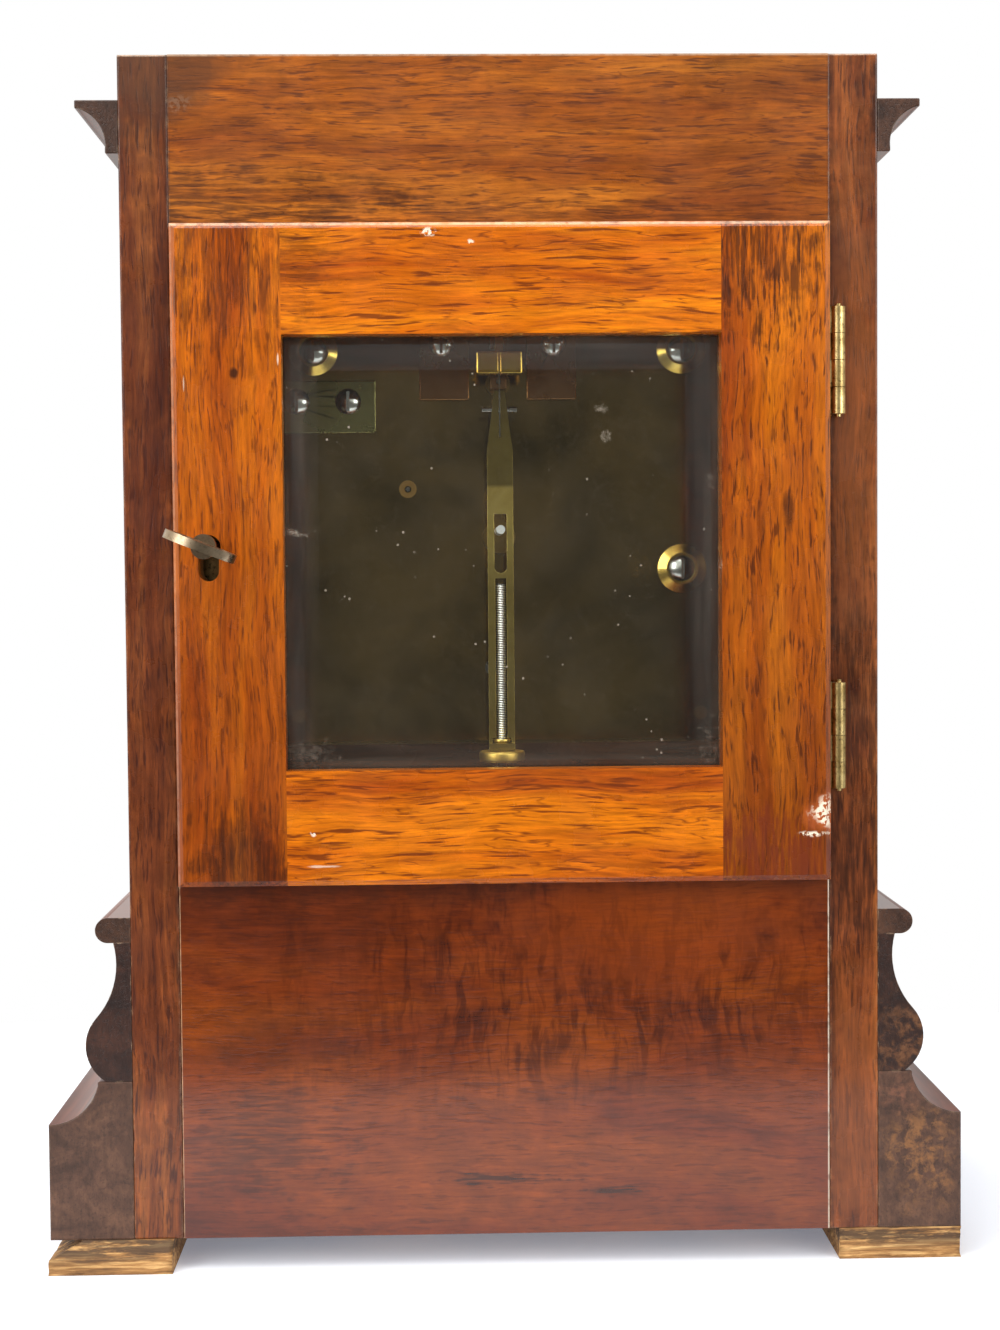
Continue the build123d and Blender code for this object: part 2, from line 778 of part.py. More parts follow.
# Key, turned so that its bow leans as in the unlocked door
tilt = radians(key_tilt)
bow_middle = door_back - key_reach + bow_length / 2
bow_end = door_back - key_reach + bow_length
key_end = bit_to + 0.4
bow_plane = Plane(origin=(key_x, y_at(0), key_spot[1]), x_dir=(cos(tilt), 0, sin(tilt)),
                  z_dir=(-sin(tilt), 0, cos(tilt)))
with BuildPart() as door_key:
    with BuildSketch(bow_plane):
        with Locations((0, -bow_middle)):
            Ellipse(bow_width / 2, bow_length / 2)
            with Locations((-bow_width / 4, 0), (bow_width / 4, 0)):
                Ellipse(bow_width / 6, bow_length / 4, mode=Mode.SUBTRACT)
    extrude(amount=bow_thickness / 2, both=True)
    with BuildSketch(bow_plane):
        with Locations((-bit_reach / 2, -(bit_from + bit_to) / 2)):
            Rectangle(bit_reach, bit_to - bit_from)
    extrude(amount=bit_thickness / 2, both=True)
    rod_y(key_spot, bow_end - 1, key_end, shank_radius)
    rod_y(key_spot, bow_end - 0.4, bow_end + 2.2, shank_radius + 1.2)
    rod_y(key_spot, bow_end + 3.4, bow_end + 4.6, shank_radius + 0.7)
    rod_y(key_spot, door_front - 4, key_end, pipe_radius, Mode.SUBTRACT)
keep(door_key, "door_key")

# Movement plates
with BuildPart() as back_plate:
    slab(-plate_half, plate_half, plate_depth, inner_face, up(plate_bottom), up(plate_top))
    for spot in screwed_pillars:
        rod_y(spot, plate_depth, inner_face, big_shank, Mode.SUBTRACT)
    for spot in riveted_pillars:
        rod_y(spot, plate_depth, inner_face, pillar_radius / 2, Mode.SUBTRACT)
    for spot in (*cock_screws, *side_screws):
        rod_y(spot, plate_depth, inner_face, small_shank, Mode.SUBTRACT)
    for spot in (center_spot, third_spot, escape_spot):
        rod_y(spot, plate_depth, inner_face, pivot_radius + pivot_clear, Mode.SUBTRACT)
    rod_y(third_spot, plate_depth, plate_depth + 0.8, 3 * pivot_radius, Mode.SUBTRACT)
    rod_y(barrel_spot, plate_depth, inner_face, barrel_arbor_radius - 0.2 + pivot_clear, Mode.SUBTRACT)
    rod_y(flex_spot, plate_depth, inner_face, 2 * arbor_radius, Mode.SUBTRACT)
keep(back_plate, "back_plate")

# Front plate with the studs of the minute wheel and the click
minute_stud = 1.2
click_stud = 1.6
with BuildPart() as front_plate:
    slab(-plate_half, plate_half, front_plate_depth, front_face, up(plate_bottom), up(plate_top))
    for spot in (*screwed_pillars, *riveted_pillars):
        rod_y(spot, front_plate_depth, front_face, small_shank, Mode.SUBTRACT)
    for spot in (third_spot, escape_spot, flex_spot):
        rod_y(spot, front_plate_depth, front_face, pivot_radius + pivot_clear, Mode.SUBTRACT)
    rod_y(center_spot, front_plate_depth, front_face, center_post + pivot_clear, Mode.SUBTRACT)
    rod_y(barrel_spot, front_plate_depth, front_face, barrel_arbor_radius - 0.2 + pivot_clear, Mode.SUBTRACT)
    rod_y(minute_spot, front_face, front_face + 11.5, minute_stud)
    rod_y(click_spot, front_face, front_face + 4, click_stud)
keep(front_plate, "front_plate")

# Pillars: three drawn up by screws with dished collars at the back, two riveted through the back plate
with BuildPart() as plate_pillars:
    for spot in (*screwed_pillars, *riveted_pillars):
        rod_y(spot, inner_face, front_plate_depth, pillar_radius)
        rod_y(spot, front_plate_depth - shank_length, front_plate_depth, small_shank, Mode.SUBTRACT)
    for spot in screwed_pillars:
        rod_y(spot, inner_face, inner_face + shank_length, big_shank, Mode.SUBTRACT)
    for spot in riveted_pillars:
        rod_y(spot, plate_depth, inner_face, pillar_radius / 2)
keep(plate_pillars, "plate_pillars")

collar_back = plate_depth - collar_thickness
with BuildPart() as pillar_collars:
    for spot in screwed_pillars:
        rod_y(spot, collar_back + collar_slope, plate_depth, collar_radius)
        with Locations((spot[0], y_at(collar_back + collar_slope / 2), spot[1])):
            Cone(collar_radius, collar_dish + collar_lip, collar_slope, rotation=(-90, 0, 0))
        rod_y(spot, collar_back, collar_back + dish_depth, collar_dish, Mode.SUBTRACT)
        rod_y(spot, collar_back, plate_depth, big_shank, Mode.SUBTRACT)
keep(pillar_collars, "pillar_collars")

# Screws of the movement, with domed and slotted heads
big_seat = collar_back + dish_depth
big_top = big_seat - big_head_edge - big_head_rise
cock_seat = plate_depth - cock_foot
bracket_seat = plate_depth - bracket_sheet
front_top = front_face + front_head_rise
with BuildPart() as movement_screws:
    for spot in screwed_pillars:
        rod_y(spot, big_seat - big_head_edge, big_seat, big_head)
        dome(spot, big_seat - big_head_edge, big_head, big_head_rise)
        rod_y(spot, big_seat, inner_face + shank_length, big_shank)
        slab(spot[0] - slot_width / 2, spot[0] + slot_width / 2, big_top, big_top + slot_depth,
             spot[1] - big_head, spot[1] + big_head, Mode.SUBTRACT)
    for spots, seat_depth in ((cock_screws, cock_seat), (side_screws, bracket_seat)):
        head_top = seat_depth - small_head_rise
        for spot in spots:
            dome(spot, seat_depth, small_head, small_head_rise)
            rod_y(spot, seat_depth, inner_face, small_shank)
            slab(spot[0] - slot_width / 2, spot[0] + slot_width / 2, head_top, head_top + slot_depth,
                 spot[1] - small_head, spot[1] + small_head, Mode.SUBTRACT)
    for spot in (*screwed_pillars, *riveted_pillars):
        dome(spot, front_face, front_head, -front_head_rise)
        rod_y(spot, front_plate_depth - shank_length, front_face, small_shank)
        slab(spot[0] - front_head, spot[0] + front_head, front_top - slot_depth, front_top,
             spot[1] - slot_width / 2, spot[1] + slot_width / 2, Mode.SUBTRACT)
keep(movement_screws, "movement_screws")

# Suspension cock on two feet, with a tongue for the pallet pivot and an arm for the suspension
with BuildPart() as suspension_cock:
    for hand in (-1, 1):
        slab(hand * cock_inner, hand * cock_outer, cock_seat, plate_depth, up(cock_bottom), up(cock_top))
    slab(-cock_outer, cock_outer, cock_back, plate_depth, up(cock_bar_bottom), up(cock_top))
    slab(-cock_tongue, cock_tongue, cock_back, cock_front, up(flex_height) - cock_tongue, up(cock_bar_bottom))
    slab(-cock_arm, cock_arm, cock_arm_end, cock_back, up(cock_bar_bottom), up(cock_top))
    rod_y(flex_spot, cock_back, cock_front, pivot_radius + pivot_clear, Mode.SUBTRACT)
    for spot in cock_screws:
        rod_y(spot, cock_seat, plate_depth, small_shank, Mode.SUBTRACT)
keep(suspension_cock, "suspension_cock")

with BuildPart() as suspension_chops:
    slab(-chops_half, chops_half, rod_middle - chops_depth / 2, rod_middle + chops_depth / 2,
         up(chops_bottom), up(chops_top))
    slab(-chops_neck, chops_neck, rod_middle - chops_depth / 4, rod_middle + chops_depth / 4,
         up(chops_top), up(cock_bar_bottom))
    chops_from = rod_middle - chops_depth / 2
    slab(-chops_split, chops_split, chops_from, chops_from + chops_split_depth,
         up(chops_bottom), up(chops_top), Mode.SUBTRACT)
keep(suspension_chops, "suspension_chops")

# Bracket from the back plate to the side of the case
with BuildPart() as movement_bracket:
    slab(bracket_x, inner_half, bracket_seat, plate_depth, up(bracket_bottom), up(bracket_top))
    slab(inner_half - bracket_sheet, inner_half, bracket_seat, bracket_seat + bracket_flange,
         up(bracket_bottom), up(bracket_top))
    for spot in side_screws:
        rod_y(spot, bracket_seat, plate_depth, small_shank, Mode.SUBTRACT)
keep(movement_bracket, "movement_bracket")

# Dial on three feet
with BuildPart() as dial_plate:
    rod_y(center_spot, dial_from, front_from, dial_radius)
    rod_y(center_spot, dial_from, front_from, dial_hole, Mode.SUBTRACT)
    rod_y(barrel_spot, dial_from, front_from, dial_hole, Mode.SUBTRACT)
    for angle in (90, 210, 330):
        rod_y(turned(center_spot, dial_foot_circle, angle), front_face, dial_from, dial_foot_radius)
keep(dial_plate, "dial_plate")

# Pendulum: a thin strip with its cross pin, and the slotted rod with its foot
with BuildPart() as suspension_spring:
    slab(-strip_half, strip_half, rod_middle - strip_width / 2, rod_middle + strip_width / 2,
         up(rod_slit_bottom) + shake, up(chops_bottom) - shake)
    rod_x(-cross_pin_half, cross_pin_half, rod_middle, up(cross_pin_height), cross_pin_radius)
keep(suspension_spring, "suspension_spring")

with BuildPart() as pendulum_rod:
    with BuildSketch(depth_plane(rod_depth)):
        with BuildLine():
            Polyline((-rod_top_half, up(rod_top)), (rod_top_half, up(rod_top)), (rod_half, up(rod_shoulder)),
                     (rod_half, up(rod_foot)), (-rod_half, up(rod_foot)), (-rod_half, up(rod_shoulder)),
                     close=True)
        make_face()
    extrude(amount=rod_thickness)
    foot_top = rod_foot + foot_block
    block_from = rod_middle - foot_block_depth / 2
    block_to = rod_middle + foot_block_depth / 2
    slab(-rod_half, rod_half, block_from, block_to, up(rod_foot), up(foot_top))
    slab(-rod_slit, rod_slit, rod_depth, rod_depth + rod_thickness, up(rod_slit_bottom), up(rod_top),
         Mode.SUBTRACT)
    rod_x(-rod_half, rod_half, rod_middle, up(cross_pin_height), cross_pin_radius, Mode.SUBTRACT)
    slab(-crutch_slot_half, crutch_slot_half, rod_depth, rod_depth + rod_thickness,
         up(crutch_slot_bottom) + crutch_slot_half, up(crutch_slot_top), Mode.SUBTRACT)
    rod_y((0, up(crutch_slot_bottom) + crutch_slot_half), rod_depth, rod_depth + rod_thickness,
          crutch_slot_half, Mode.SUBTRACT)
    slab(-screw_slot_half, screw_slot_half, rod_depth, rod_depth + rod_thickness,
         up(foot_top), up(screw_slot_top), Mode.SUBTRACT)
    slab(-nut_flange - shake, nut_flange + shake, block_from, block_to,
         up(foot_top), up(foot_top) + nut_flange_height + 2 * shake, Mode.SUBTRACT)
    rod_z(0, rod_middle, up(rod_foot), up(foot_top), nut_neck + running, Mode.SUBTRACT)
keep(pendulum_rod, "pendulum_rod")

# Rating nut, held by its neck in the foot of the rod
nut_top = up(rod_foot) - shake
with BuildPart() as rating_nut:
    rod_z(0, rod_middle, nut_top - nut_thickness, nut_top, nut_radius)
    chamfer(rating_nut.edges().filter_by(GeomType.CIRCLE), length=nut_thickness / 8)
    rod_z(0, rod_middle, nut_top - nut_thickness, up(foot_top) + shake + nut_flange_height, nut_neck)
    rod_z(0, rod_middle, up(foot_top) + shake, up(foot_top) + shake + nut_flange_height, nut_flange)
    rod_z(0, rod_middle, nut_top - nut_thickness, up(foot_top) + shake + nut_flange_height,
          screw_radius + running, Mode.SUBTRACT)
keep(rating_nut, "rating_nut")

# Rating screw as a row of ridges on a core, and the lens bob on its stem
ridges = int((screw_top - screw_thread_bottom) / screw_pitch)
bob_top = up(bob_height) + bob_radius
screw_points = [(0, up(screw_top)), (screw_core, up(screw_top))]
for ridge in range(ridges):
    crest = up(screw_top) - (ridge + 0.5) * screw_pitch
    screw_points += [(screw_radius, crest), (screw_core, crest - screw_pitch / 2)]
screw_points += [(screw_core, bob_top), (0, bob_top)]
with BuildPart() as rating_screw:
    with BuildSketch(Plane(origin=(0, y_at(rod_middle), 0), x_dir=(1, 0, 0), z_dir=(0, -1, 0))):
        with BuildLine():
            Polyline(*screw_points, close=True)
        make_face()
    revolve(axis=Axis((0, y_at(rod_middle), 0), (0, 0, 1)))
keep(rating_screw, "rating_screw")

bob_rim = 2.4
with BuildPart() as pendulum_bob:
    with BuildSketch(Plane(origin=(0, 0, up(bob_height)))):
        with BuildLine():
            TangentArc((0, y_at(rod_middle) + bob_thickness / 2),
                       (bob_radius, y_at(rod_middle) + bob_rim / 2), tangent=(1, 0))
            Line((bob_radius, y_at(rod_middle) + bob_rim / 2), (bob_radius, y_at(rod_middle) - bob_rim / 2))
            TangentArc((0, y_at(rod_middle) - bob_thickness / 2),
                       (bob_radius, y_at(rod_middle) - bob_rim / 2), tangent=(1, 0))
            Line((0, y_at(rod_middle) - bob_thickness / 2), (0, y_at(rod_middle) + bob_thickness / 2))
        make_face()
    revolve(axis=Axis((0, 0, up(bob_height)), (0, 1, 0)))
    slab(-bob_radius / 2, bob_radius / 2, rod_middle - bob_thickness, rod_middle + bob_thickness,
         bob_top - 1, bob_top + 1, Mode.SUBTRACT)
    rod_z(0, rod_middle, bob_top - 2, bob_top, bob_stem)
keep(pendulum_bob, "pendulum_bob")

# Pallets on their arbor, and the crutch with its pin
pallet_from = escape_wheel_at - 1.5
pallet_thickness = escape_wheel_thickness + 3.0
arbor_from = inner_face + shake
arbor_to = front_plate_depth - shake
with BuildPart() as pallet_arbor:
    rod_y(flex_spot, cock_back + shake, cock_front + 2 * shake, pivot_radius)
    rod_y(flex_spot, cock_front + shake, arbor_to, arbor_radius - 0.4)
    rod_y(flex_spot, arbor_to, front_face, pivot_radius)
    with BuildSketch(depth_plane(pallet_from)):
        for hand in (-1, 1):
            with BuildLine():
                Polyline(*[(hand * x, up(flex_height) + z) for x, z in (
                    (0, 2.8), (9.8, -1.6), (11.2, -4.6), (9.3, -6.2), (8.0, -5.9), (7.4, -4.0), (0, -2.6))],
                    close=True)
            make_face()
    extrude(amount=pallet_thickness)
keep(pallet_arbor, "pallet_arbor")

crutch_boss = (0, up(crutch_boss_height))
with BuildPart() as crutch:
    rod_y(flex_spot, crutch_front, crutch_back, crutch_bar)
    slab(-crutch_bar / 2, crutch_bar / 2, crutch_front, crutch_back, crutch_boss[1], flex_spot[1])
    rod_y(crutch_boss, crutch_front - 3, crutch_back, crutch_boss_radius)
    rod_y((0, up(crutch_pin_height)), crutch_pin_end, crutch_front, crutch_pin_radius)
    rod_y(flex_spot, crutch_front, crutch_back, arbor_radius - 0.4, Mode.SUBTRACT)
keep(crutch, "crutch")

# Escape wheel and its arbor with the pinion
pinion_reach = (pinion_length - wheel) / 2
with BuildPart() as escape_arbor:
    rod_y(escape_spot, plate_depth, arbor_from, pivot_radius)
    rod_y(escape_spot, arbor_from, arbor_to, arbor_radius - 0.4)
    rod_y(escape_spot, arbor_to, front_face, pivot_radius)
    leaf_turn = bearing(escape_spot, third_spot) + half_leaf
    extrude(rim_face(tooth_points(escape_spot, pinion_leaves, third_module, leaf_turn, pinion_form),
                     third_wheel_at - pinion_reach), amount=pinion_length)
keep(escape_arbor, "escape_arbor")

with BuildPart() as escape_wheel:
    extrude(crossed_face(saw_points(escape_spot, escape_teeth, escape_radius, escape_root, 0.6), escape_spot,
                         escape_wheel_at, escape_root - 1.6, 3.2, arbor_radius - 0.4, 4, 1.6),
            amount=escape_wheel_thickness)
keep(escape_wheel, "escape_wheel")

# Third wheel and its arbor
with BuildPart() as third_arbor:
    rod_y(third_spot, plate_depth + 0.4, arbor_from, pivot_radius)
    rod_y(third_spot, arbor_from, arbor_to, arbor_radius - 0.2)
    rod_y(third_spot, arbor_to, front_face, pivot_radius)
    leaf_turn = bearing(third_spot, center_spot) + half_leaf
    extrude(rim_face(tooth_points(third_spot, pinion_leaves, center_module, leaf_turn, pinion_form),
                     center_wheel_at - pinion_reach), amount=pinion_length)
keep(third_arbor, "third_arbor")

third_rim = third_module * third_teeth / 2 - 4
with BuildPart() as third_wheel:
    tooth_turn = bearing(third_spot, escape_spot)
    extrude(crossed_face(tooth_points(third_spot, third_teeth, third_module, tooth_turn, wheel_form), third_spot,
                         third_wheel_at, third_rim, 5, arbor_radius - 0.2, 5, 2.6), amount=wheel)
keep(third_wheel, "third_wheel")

# Center wheel and its arbor, which carries the hands through the dial
hand_post_end = front_from + 7.5
with BuildPart() as center_arbor:
    rod_y(center_spot, plate_depth, arbor_from, pivot_radius)
    rod_y(center_spot, arbor_from, arbor_to, arbor_radius)
    rod_y(center_spot, arbor_to, hand_post_end, center_post)
    leaf_turn = bearing(center_spot, barrel_spot) + half_leaf
    extrude(rim_face(tooth_points(center_spot, pinion_leaves, barrel_module, leaf_turn, pinion_form),
                     drum_to - 1), amount=pinion_length)
keep(center_arbor, "center_arbor")

center_rim = center_module * center_teeth / 2 - 4.5
with BuildPart() as center_wheel:
    tooth_turn = bearing(center_spot, third_spot)
    extrude(crossed_face(tooth_points(center_spot, center_teeth, center_module, tooth_turn, wheel_form),
                         center_spot, center_wheel_at, center_rim, 6, arbor_radius, 5, 3), amount=wheel)
keep(center_wheel, "center_wheel")

# Going barrel, its coiled spring, and the arbor that winds it
with BuildPart() as barrel_drum:
    rod_y(barrel_spot, drum_from, drum_to + barrel_flange / 2, drum_radius)
    tooth_turn = bearing(barrel_spot, center_spot)
    extrude(rim_face(tooth_points(barrel_spot, barrel_teeth, barrel_module, tooth_turn, wheel_form), drum_to),
            amount=barrel_flange)
    rod_y(barrel_spot, drum_from + drum_wall, drum_to + barrel_flange / 2, drum_radius - drum_wall, Mode.SUBTRACT)
    rod_y(barrel_spot, drum_from, drum_to + barrel_flange, barrel_arbor_radius + running, Mode.SUBTRACT)
keep(barrel_drum, "barrel_drum")

spring_from = drum_from + 2 * drum_wall
spring_to = drum_to
with BuildPart() as mainspring:
    with BuildSketch(depth_plane(spring_from)):
        with BuildLine():
            for turn in range(spring_turns):
                inner = barrel_core + spring_ribbon + turn * spring_pitch
                wider = inner + spring_pitch / 2
                ThreePointArc((barrel_x + inner, barrel_spot[1]), (barrel_x, barrel_spot[1] + inner),
                              (barrel_x - inner, barrel_spot[1]))
                ThreePointArc((barrel_x - inner, barrel_spot[1]),
                              (barrel_x - inner + wider, barrel_spot[1] - wider),
                              (barrel_x + inner + spring_pitch, barrel_spot[1]))
        trace(line_width=spring_ribbon)
    extrude(amount=spring_to - spring_from)
keep(mainspring, "mainspring")

ratchet_from = front_face + 1.0
winding_end = dial_from - 1.0
with BuildPart() as barrel_arbor:
    rod_y(barrel_spot, plate_depth - 0.5, arbor_from, barrel_arbor_radius - 0.2)
    rod_y(barrel_spot, arbor_from, arbor_to, barrel_arbor_radius)
    rod_y(barrel_spot, spring_from, spring_to, barrel_core)
    rod_y(barrel_spot, arbor_to, ratchet_from, barrel_arbor_radius - 0.2)
    slab(barrel_x - winding_square / 2, barrel_x + winding_square / 2, ratchet_from, winding_end,
         barrel_spot[1] - winding_square / 2, barrel_spot[1] + winding_square / 2)
keep(barrel_arbor, "barrel_arbor")

with BuildPart() as ratchet_wheel:
    extrude(rim_face(saw_points(barrel_spot, ratchet_teeth, ratchet_radius, ratchet_root, 0.75), ratchet_from),
            amount=ratchet_thickness)
    slab(barrel_x - winding_square / 2, barrel_x + winding_square / 2,
         ratchet_from, ratchet_from + ratchet_thickness,
         barrel_spot[1] - winding_square / 2, barrel_spot[1] + winding_square / 2, Mode.SUBTRACT)
keep(ratchet_wheel, "ratchet_wheel")

click_eye = 3.4
click_gap = 0.5
click_tip = turned(barrel_spot, ratchet_radius + click_gap, click_angle + 48)
click_heel = turned(barrel_spot, ratchet_radius + click_gap + 2.6, click_angle + 52)
click_near = turned(click_spot, click_eye * 0.9, bearing(click_spot, click_tip) + 90)
click_far = turned(click_spot, click_eye * 0.9, bearing(click_spot, click_tip) - 90)
with BuildPart() as click:
    rod_y(click_spot, ratchet_from, ratchet_from + ratchet_thickness, click_eye)
    extrude(rim_face([click_far, click_heel, click_tip, click_near], ratchet_from), amount=ratchet_thickness)
    rod_y(click_spot, ratchet_from, ratchet_from + ratchet_thickness, click_stud + running, Mode.SUBTRACT)
keep(click, "click")

# Motion work and hands
cannon_from = front_face + 2.0
minute_from = front_face + 2.8
hour_from = front_face + 7.5
cannon_length = 3.5
motion_sheet = 1.5
hour_pipe_from = hour_from - 1.0
hour_hand_from = front_from + 1.6
minute_hand_from = front_from + 4.4
half_cannon = 180 / cannon_teeth
half_minute = 180 / minute_leaves
with BuildPart() as cannon_pinion:
    rod_y(center_spot, cannon_from - 1, minute_hand_from + hand_sheet, cannon_pipe)
    leaf_turn = bearing(center_spot, minute_spot) + half_cannon
    extrude(rim_face(tooth_points(center_spot, cannon_teeth, motion_module, leaf_turn, pinion_form), cannon_from),
            amount=cannon_length)
    rod_y(center_spot, cannon_from - 1, minute_hand_from + hand_sheet, center_post, Mode.SUBTRACT)
keep(cannon_pinion, "cannon_pinion")

with BuildPart() as minute_wheel:
    tooth_turn = bearing(minute_spot, center_spot)
    extrude(rim_face(tooth_points(minute_spot, minute_teeth, motion_module, tooth_turn, wheel_form), minute_from),
            amount=motion_sheet)
    extrude(rim_face(tooth_points(minute_spot, minute_leaves, hour_module, tooth_turn + half_minute, pinion_form),
                     minute_from + motion_sheet), amount=6.0)
    rod_y(minute_spot, minute_from, minute_from + motion_sheet + 6.0, minute_stud + running, Mode.SUBTRACT)
keep(minute_wheel, "minute_wheel")

with BuildPart() as hour_wheel:
    tooth_turn = bearing(center_spot, minute_spot)
    extrude(rim_face(tooth_points(center_spot, hour_teeth, hour_module, tooth_turn, wheel_form), hour_from),
            amount=motion_sheet)
    rod_y(center_spot, hour_pipe_from, hour_hand_from + hand_sheet, hour_pipe)
    rod_y(center_spot, hour_pipe_from, hour_hand_from + hand_sheet, hour_bore, Mode.SUBTRACT)
keep(hour_wheel, "hour_wheel")


def hand_plane(depth, clock_angle):
    """Plane whose X axis points along a hand, at an angle clockwise from twelve seen from the dial."""
    angle = radians(clock_angle)
    return Plane(origin=(0, y_at(depth), center_spot[1]), x_dir=(sin(angle), 0, cos(angle)), z_dir=(0, -1, 0))


with BuildPart() as minute_hand:
    with BuildSketch(hand_plane(minute_hand_from, minute_turn)):
        with BuildLine():
            Polyline((-14, -1.4), (0, -1.6), (0.7 * minute_length, -1.2), (0.8 * minute_length, -2.4),
                     (minute_length, 0), (0.8 * minute_length, 2.4), (0.7 * minute_length, 1.2), (0, 1.6),
                     (-14, 1.4), close=True)
        make_face()
        Circle(2 * cannon_pipe)
        Circle(cannon_pipe, mode=Mode.SUBTRACT)
    extrude(amount=hand_sheet)
keep(minute_hand, "minute_hand")

with BuildPart() as hour_hand:
    with BuildSketch(hand_plane(hour_hand_from, hour_turn)):
        with BuildLine():
            Polyline((-11, -1.6), (0, -1.8), (0.62 * hour_length, -1.5), (0.76 * hour_length, -4.2),
                     (hour_length, 0), (0.76 * hour_length, 4.2), (0.62 * hour_length, 1.5), (0, 1.8),
                     (-11, 1.6), close=True)
        make_face()
        Circle(1.7 * hour_pipe)
        Circle(hour_pipe, mode=Mode.SUBTRACT)
    extrude(amount=hand_sheet)
keep(hour_hand, "hour_hand")

# Hinged bezel with its domed glass
bezel_from = case_depth + bezel_off
bezel_to = bezel_from + bezel_height
bezel_axis_x = -(bezel_radius + bezel_hinge_out)
bezel_axis_depth = bezel_from + bezel_knuckle + bezel_off
bezel_plane = Plane(origin=(0, 0, center_spot[1]))
bezel_axis = Axis((0, 0, center_spot[1]), (0, 1, 0))
with BuildPart() as bezel_ring:
    with BuildSketch(bezel_plane):
        with BuildLine():
            Polyline((bezel_bore, y_at(bezel_to - 2)), (bezel_bore, y_at(bezel_from + bezel_rebate)),
                     (bezel_seat, y_at(bezel_from + bezel_rebate)), (bezel_seat, y_at(bezel_from)),
                     (bezel_radius, y_at(bezel_from)), (bezel_radius, y_at(bezel_from + 3)))
            ThreePointArc((bezel_radius, y_at(bezel_from + 3)),
                          (bezel_radius - 4, y_at(bezel_to - 1)),
                          (bezel_bore, y_at(bezel_to - 2)))
        make_face()
    revolve(axis=bezel_axis)
    slab(bezel_axis_x, -bezel_radius + 2, bezel_axis_depth - 0.8, bezel_axis_depth + 0.8,
         center_spot[1] - bezel_knuckle_half, center_spot[1] + bezel_knuckle_half)
    rod_z(bezel_axis_x, bezel_axis_depth, center_spot[1] - bezel_knuckle_half,
          center_spot[1] + bezel_knuckle_half, bezel_knuckle)
    rod_z(bezel_axis_x, bezel_axis_depth, center_spot[1] - bezel_knuckle_half,
          center_spot[1] + bezel_knuckle_half, bezel_pin + running, Mode.SUBTRACT)
keep(bezel_ring, "bezel_ring")

with BuildPart() as bezel_hinge:
    slab(bezel_axis_x - 9, bezel_axis_x, case_depth, case_depth + leaf,
         center_spot[1] - bezel_leaf_half, center_spot[1] + bezel_leaf_half)
    for hand in (-1, 1):
        knuckle_from = center_spot[1] + hand * (bezel_knuckle_half + knuckle_gap)
        knuckle_to = center_spot[1] + hand * bezel_leaf_half
        rod_z(bezel_axis_x, bezel_axis_depth, min(knuckle_from, knuckle_to), max(knuckle_from, knuckle_to),
              bezel_knuckle)
    slab(bezel_axis_x - 3, bezel_axis_x + bezel_knuckle + leaf, case_depth, case_depth + leaf,
         center_spot[1] - bezel_knuckle_half - knuckle_gap, center_spot[1] + bezel_knuckle_half + knuckle_gap,
         Mode.SUBTRACT)
    rod_z(bezel_axis_x, bezel_axis_depth, center_spot[1] - bezel_leaf_half, center_spot[1] + bezel_leaf_half,
          bezel_pin)
keep(bezel_hinge, "bezel_hinge")

glass_rim = bezel_seat - running
glass_rim_to = bezel_from + bezel_rebate - running
glass_apex = glass_rim_to + bezel_dome
dome_radius = bezel_bore - glass_gap
with BuildPart() as bezel_glass:
    with BuildSketch(bezel_plane):
        with BuildLine():
            TangentArc((0, y_at(glass_apex)), (dome_radius, y_at(glass_rim_to)), tangent=(1, 0))
            Polyline((dome_radius, y_at(glass_rim_to)), (glass_rim, y_at(glass_rim_to)),
                     (glass_rim, y_at(glass_rim_to - bezel_glass_sheet)),
                     (dome_radius, y_at(glass_rim_to - bezel_glass_sheet)))
            TangentArc((0, y_at(glass_apex - bezel_glass_sheet)),
                       (dome_radius, y_at(glass_rim_to - bezel_glass_sheet)), tangent=(1, 0))
            Line((0, y_at(glass_apex - bezel_glass_sheet)), (0, y_at(glass_apex)))
        make_face()
    revolve(axis=bezel_axis)
keep(bezel_glass, "bezel_glass")
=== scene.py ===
from math import cos, pi, radians, sin

import bmesh
import bpy
from mathutils import Matrix, Vector, noise


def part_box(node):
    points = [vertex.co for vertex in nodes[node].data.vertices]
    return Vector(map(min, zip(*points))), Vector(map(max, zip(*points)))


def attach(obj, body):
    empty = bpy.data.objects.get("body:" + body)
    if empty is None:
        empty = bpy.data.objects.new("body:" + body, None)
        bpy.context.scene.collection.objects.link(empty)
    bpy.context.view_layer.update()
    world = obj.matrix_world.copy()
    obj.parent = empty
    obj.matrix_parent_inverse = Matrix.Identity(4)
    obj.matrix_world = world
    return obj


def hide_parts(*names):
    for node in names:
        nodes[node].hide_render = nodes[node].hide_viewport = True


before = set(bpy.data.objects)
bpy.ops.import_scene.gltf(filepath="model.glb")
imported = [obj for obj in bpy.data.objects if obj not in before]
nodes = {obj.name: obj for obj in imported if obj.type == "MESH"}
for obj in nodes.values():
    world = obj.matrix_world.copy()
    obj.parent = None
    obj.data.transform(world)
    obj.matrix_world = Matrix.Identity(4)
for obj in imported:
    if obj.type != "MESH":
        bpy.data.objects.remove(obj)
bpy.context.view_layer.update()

# Places in the clock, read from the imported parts
left_low, left_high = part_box("side_panel_left")
right_low, right_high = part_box("side_panel_right")
panel_low, panel_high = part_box("back_lower_panel")
rail_low, rail_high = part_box("back_top_rail")
lock_low, lock_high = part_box("door_lock_stile")
hinge_low, hinge_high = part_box("door_hinge_stile")
glass_low, glass_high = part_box("door_glass")
dial_low, dial_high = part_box("dial_plate")
X, Y, Z = range(3)
MM = 0.001

# Points of one mesh that are nearer than this are one point
WELD = 0.01 * MM


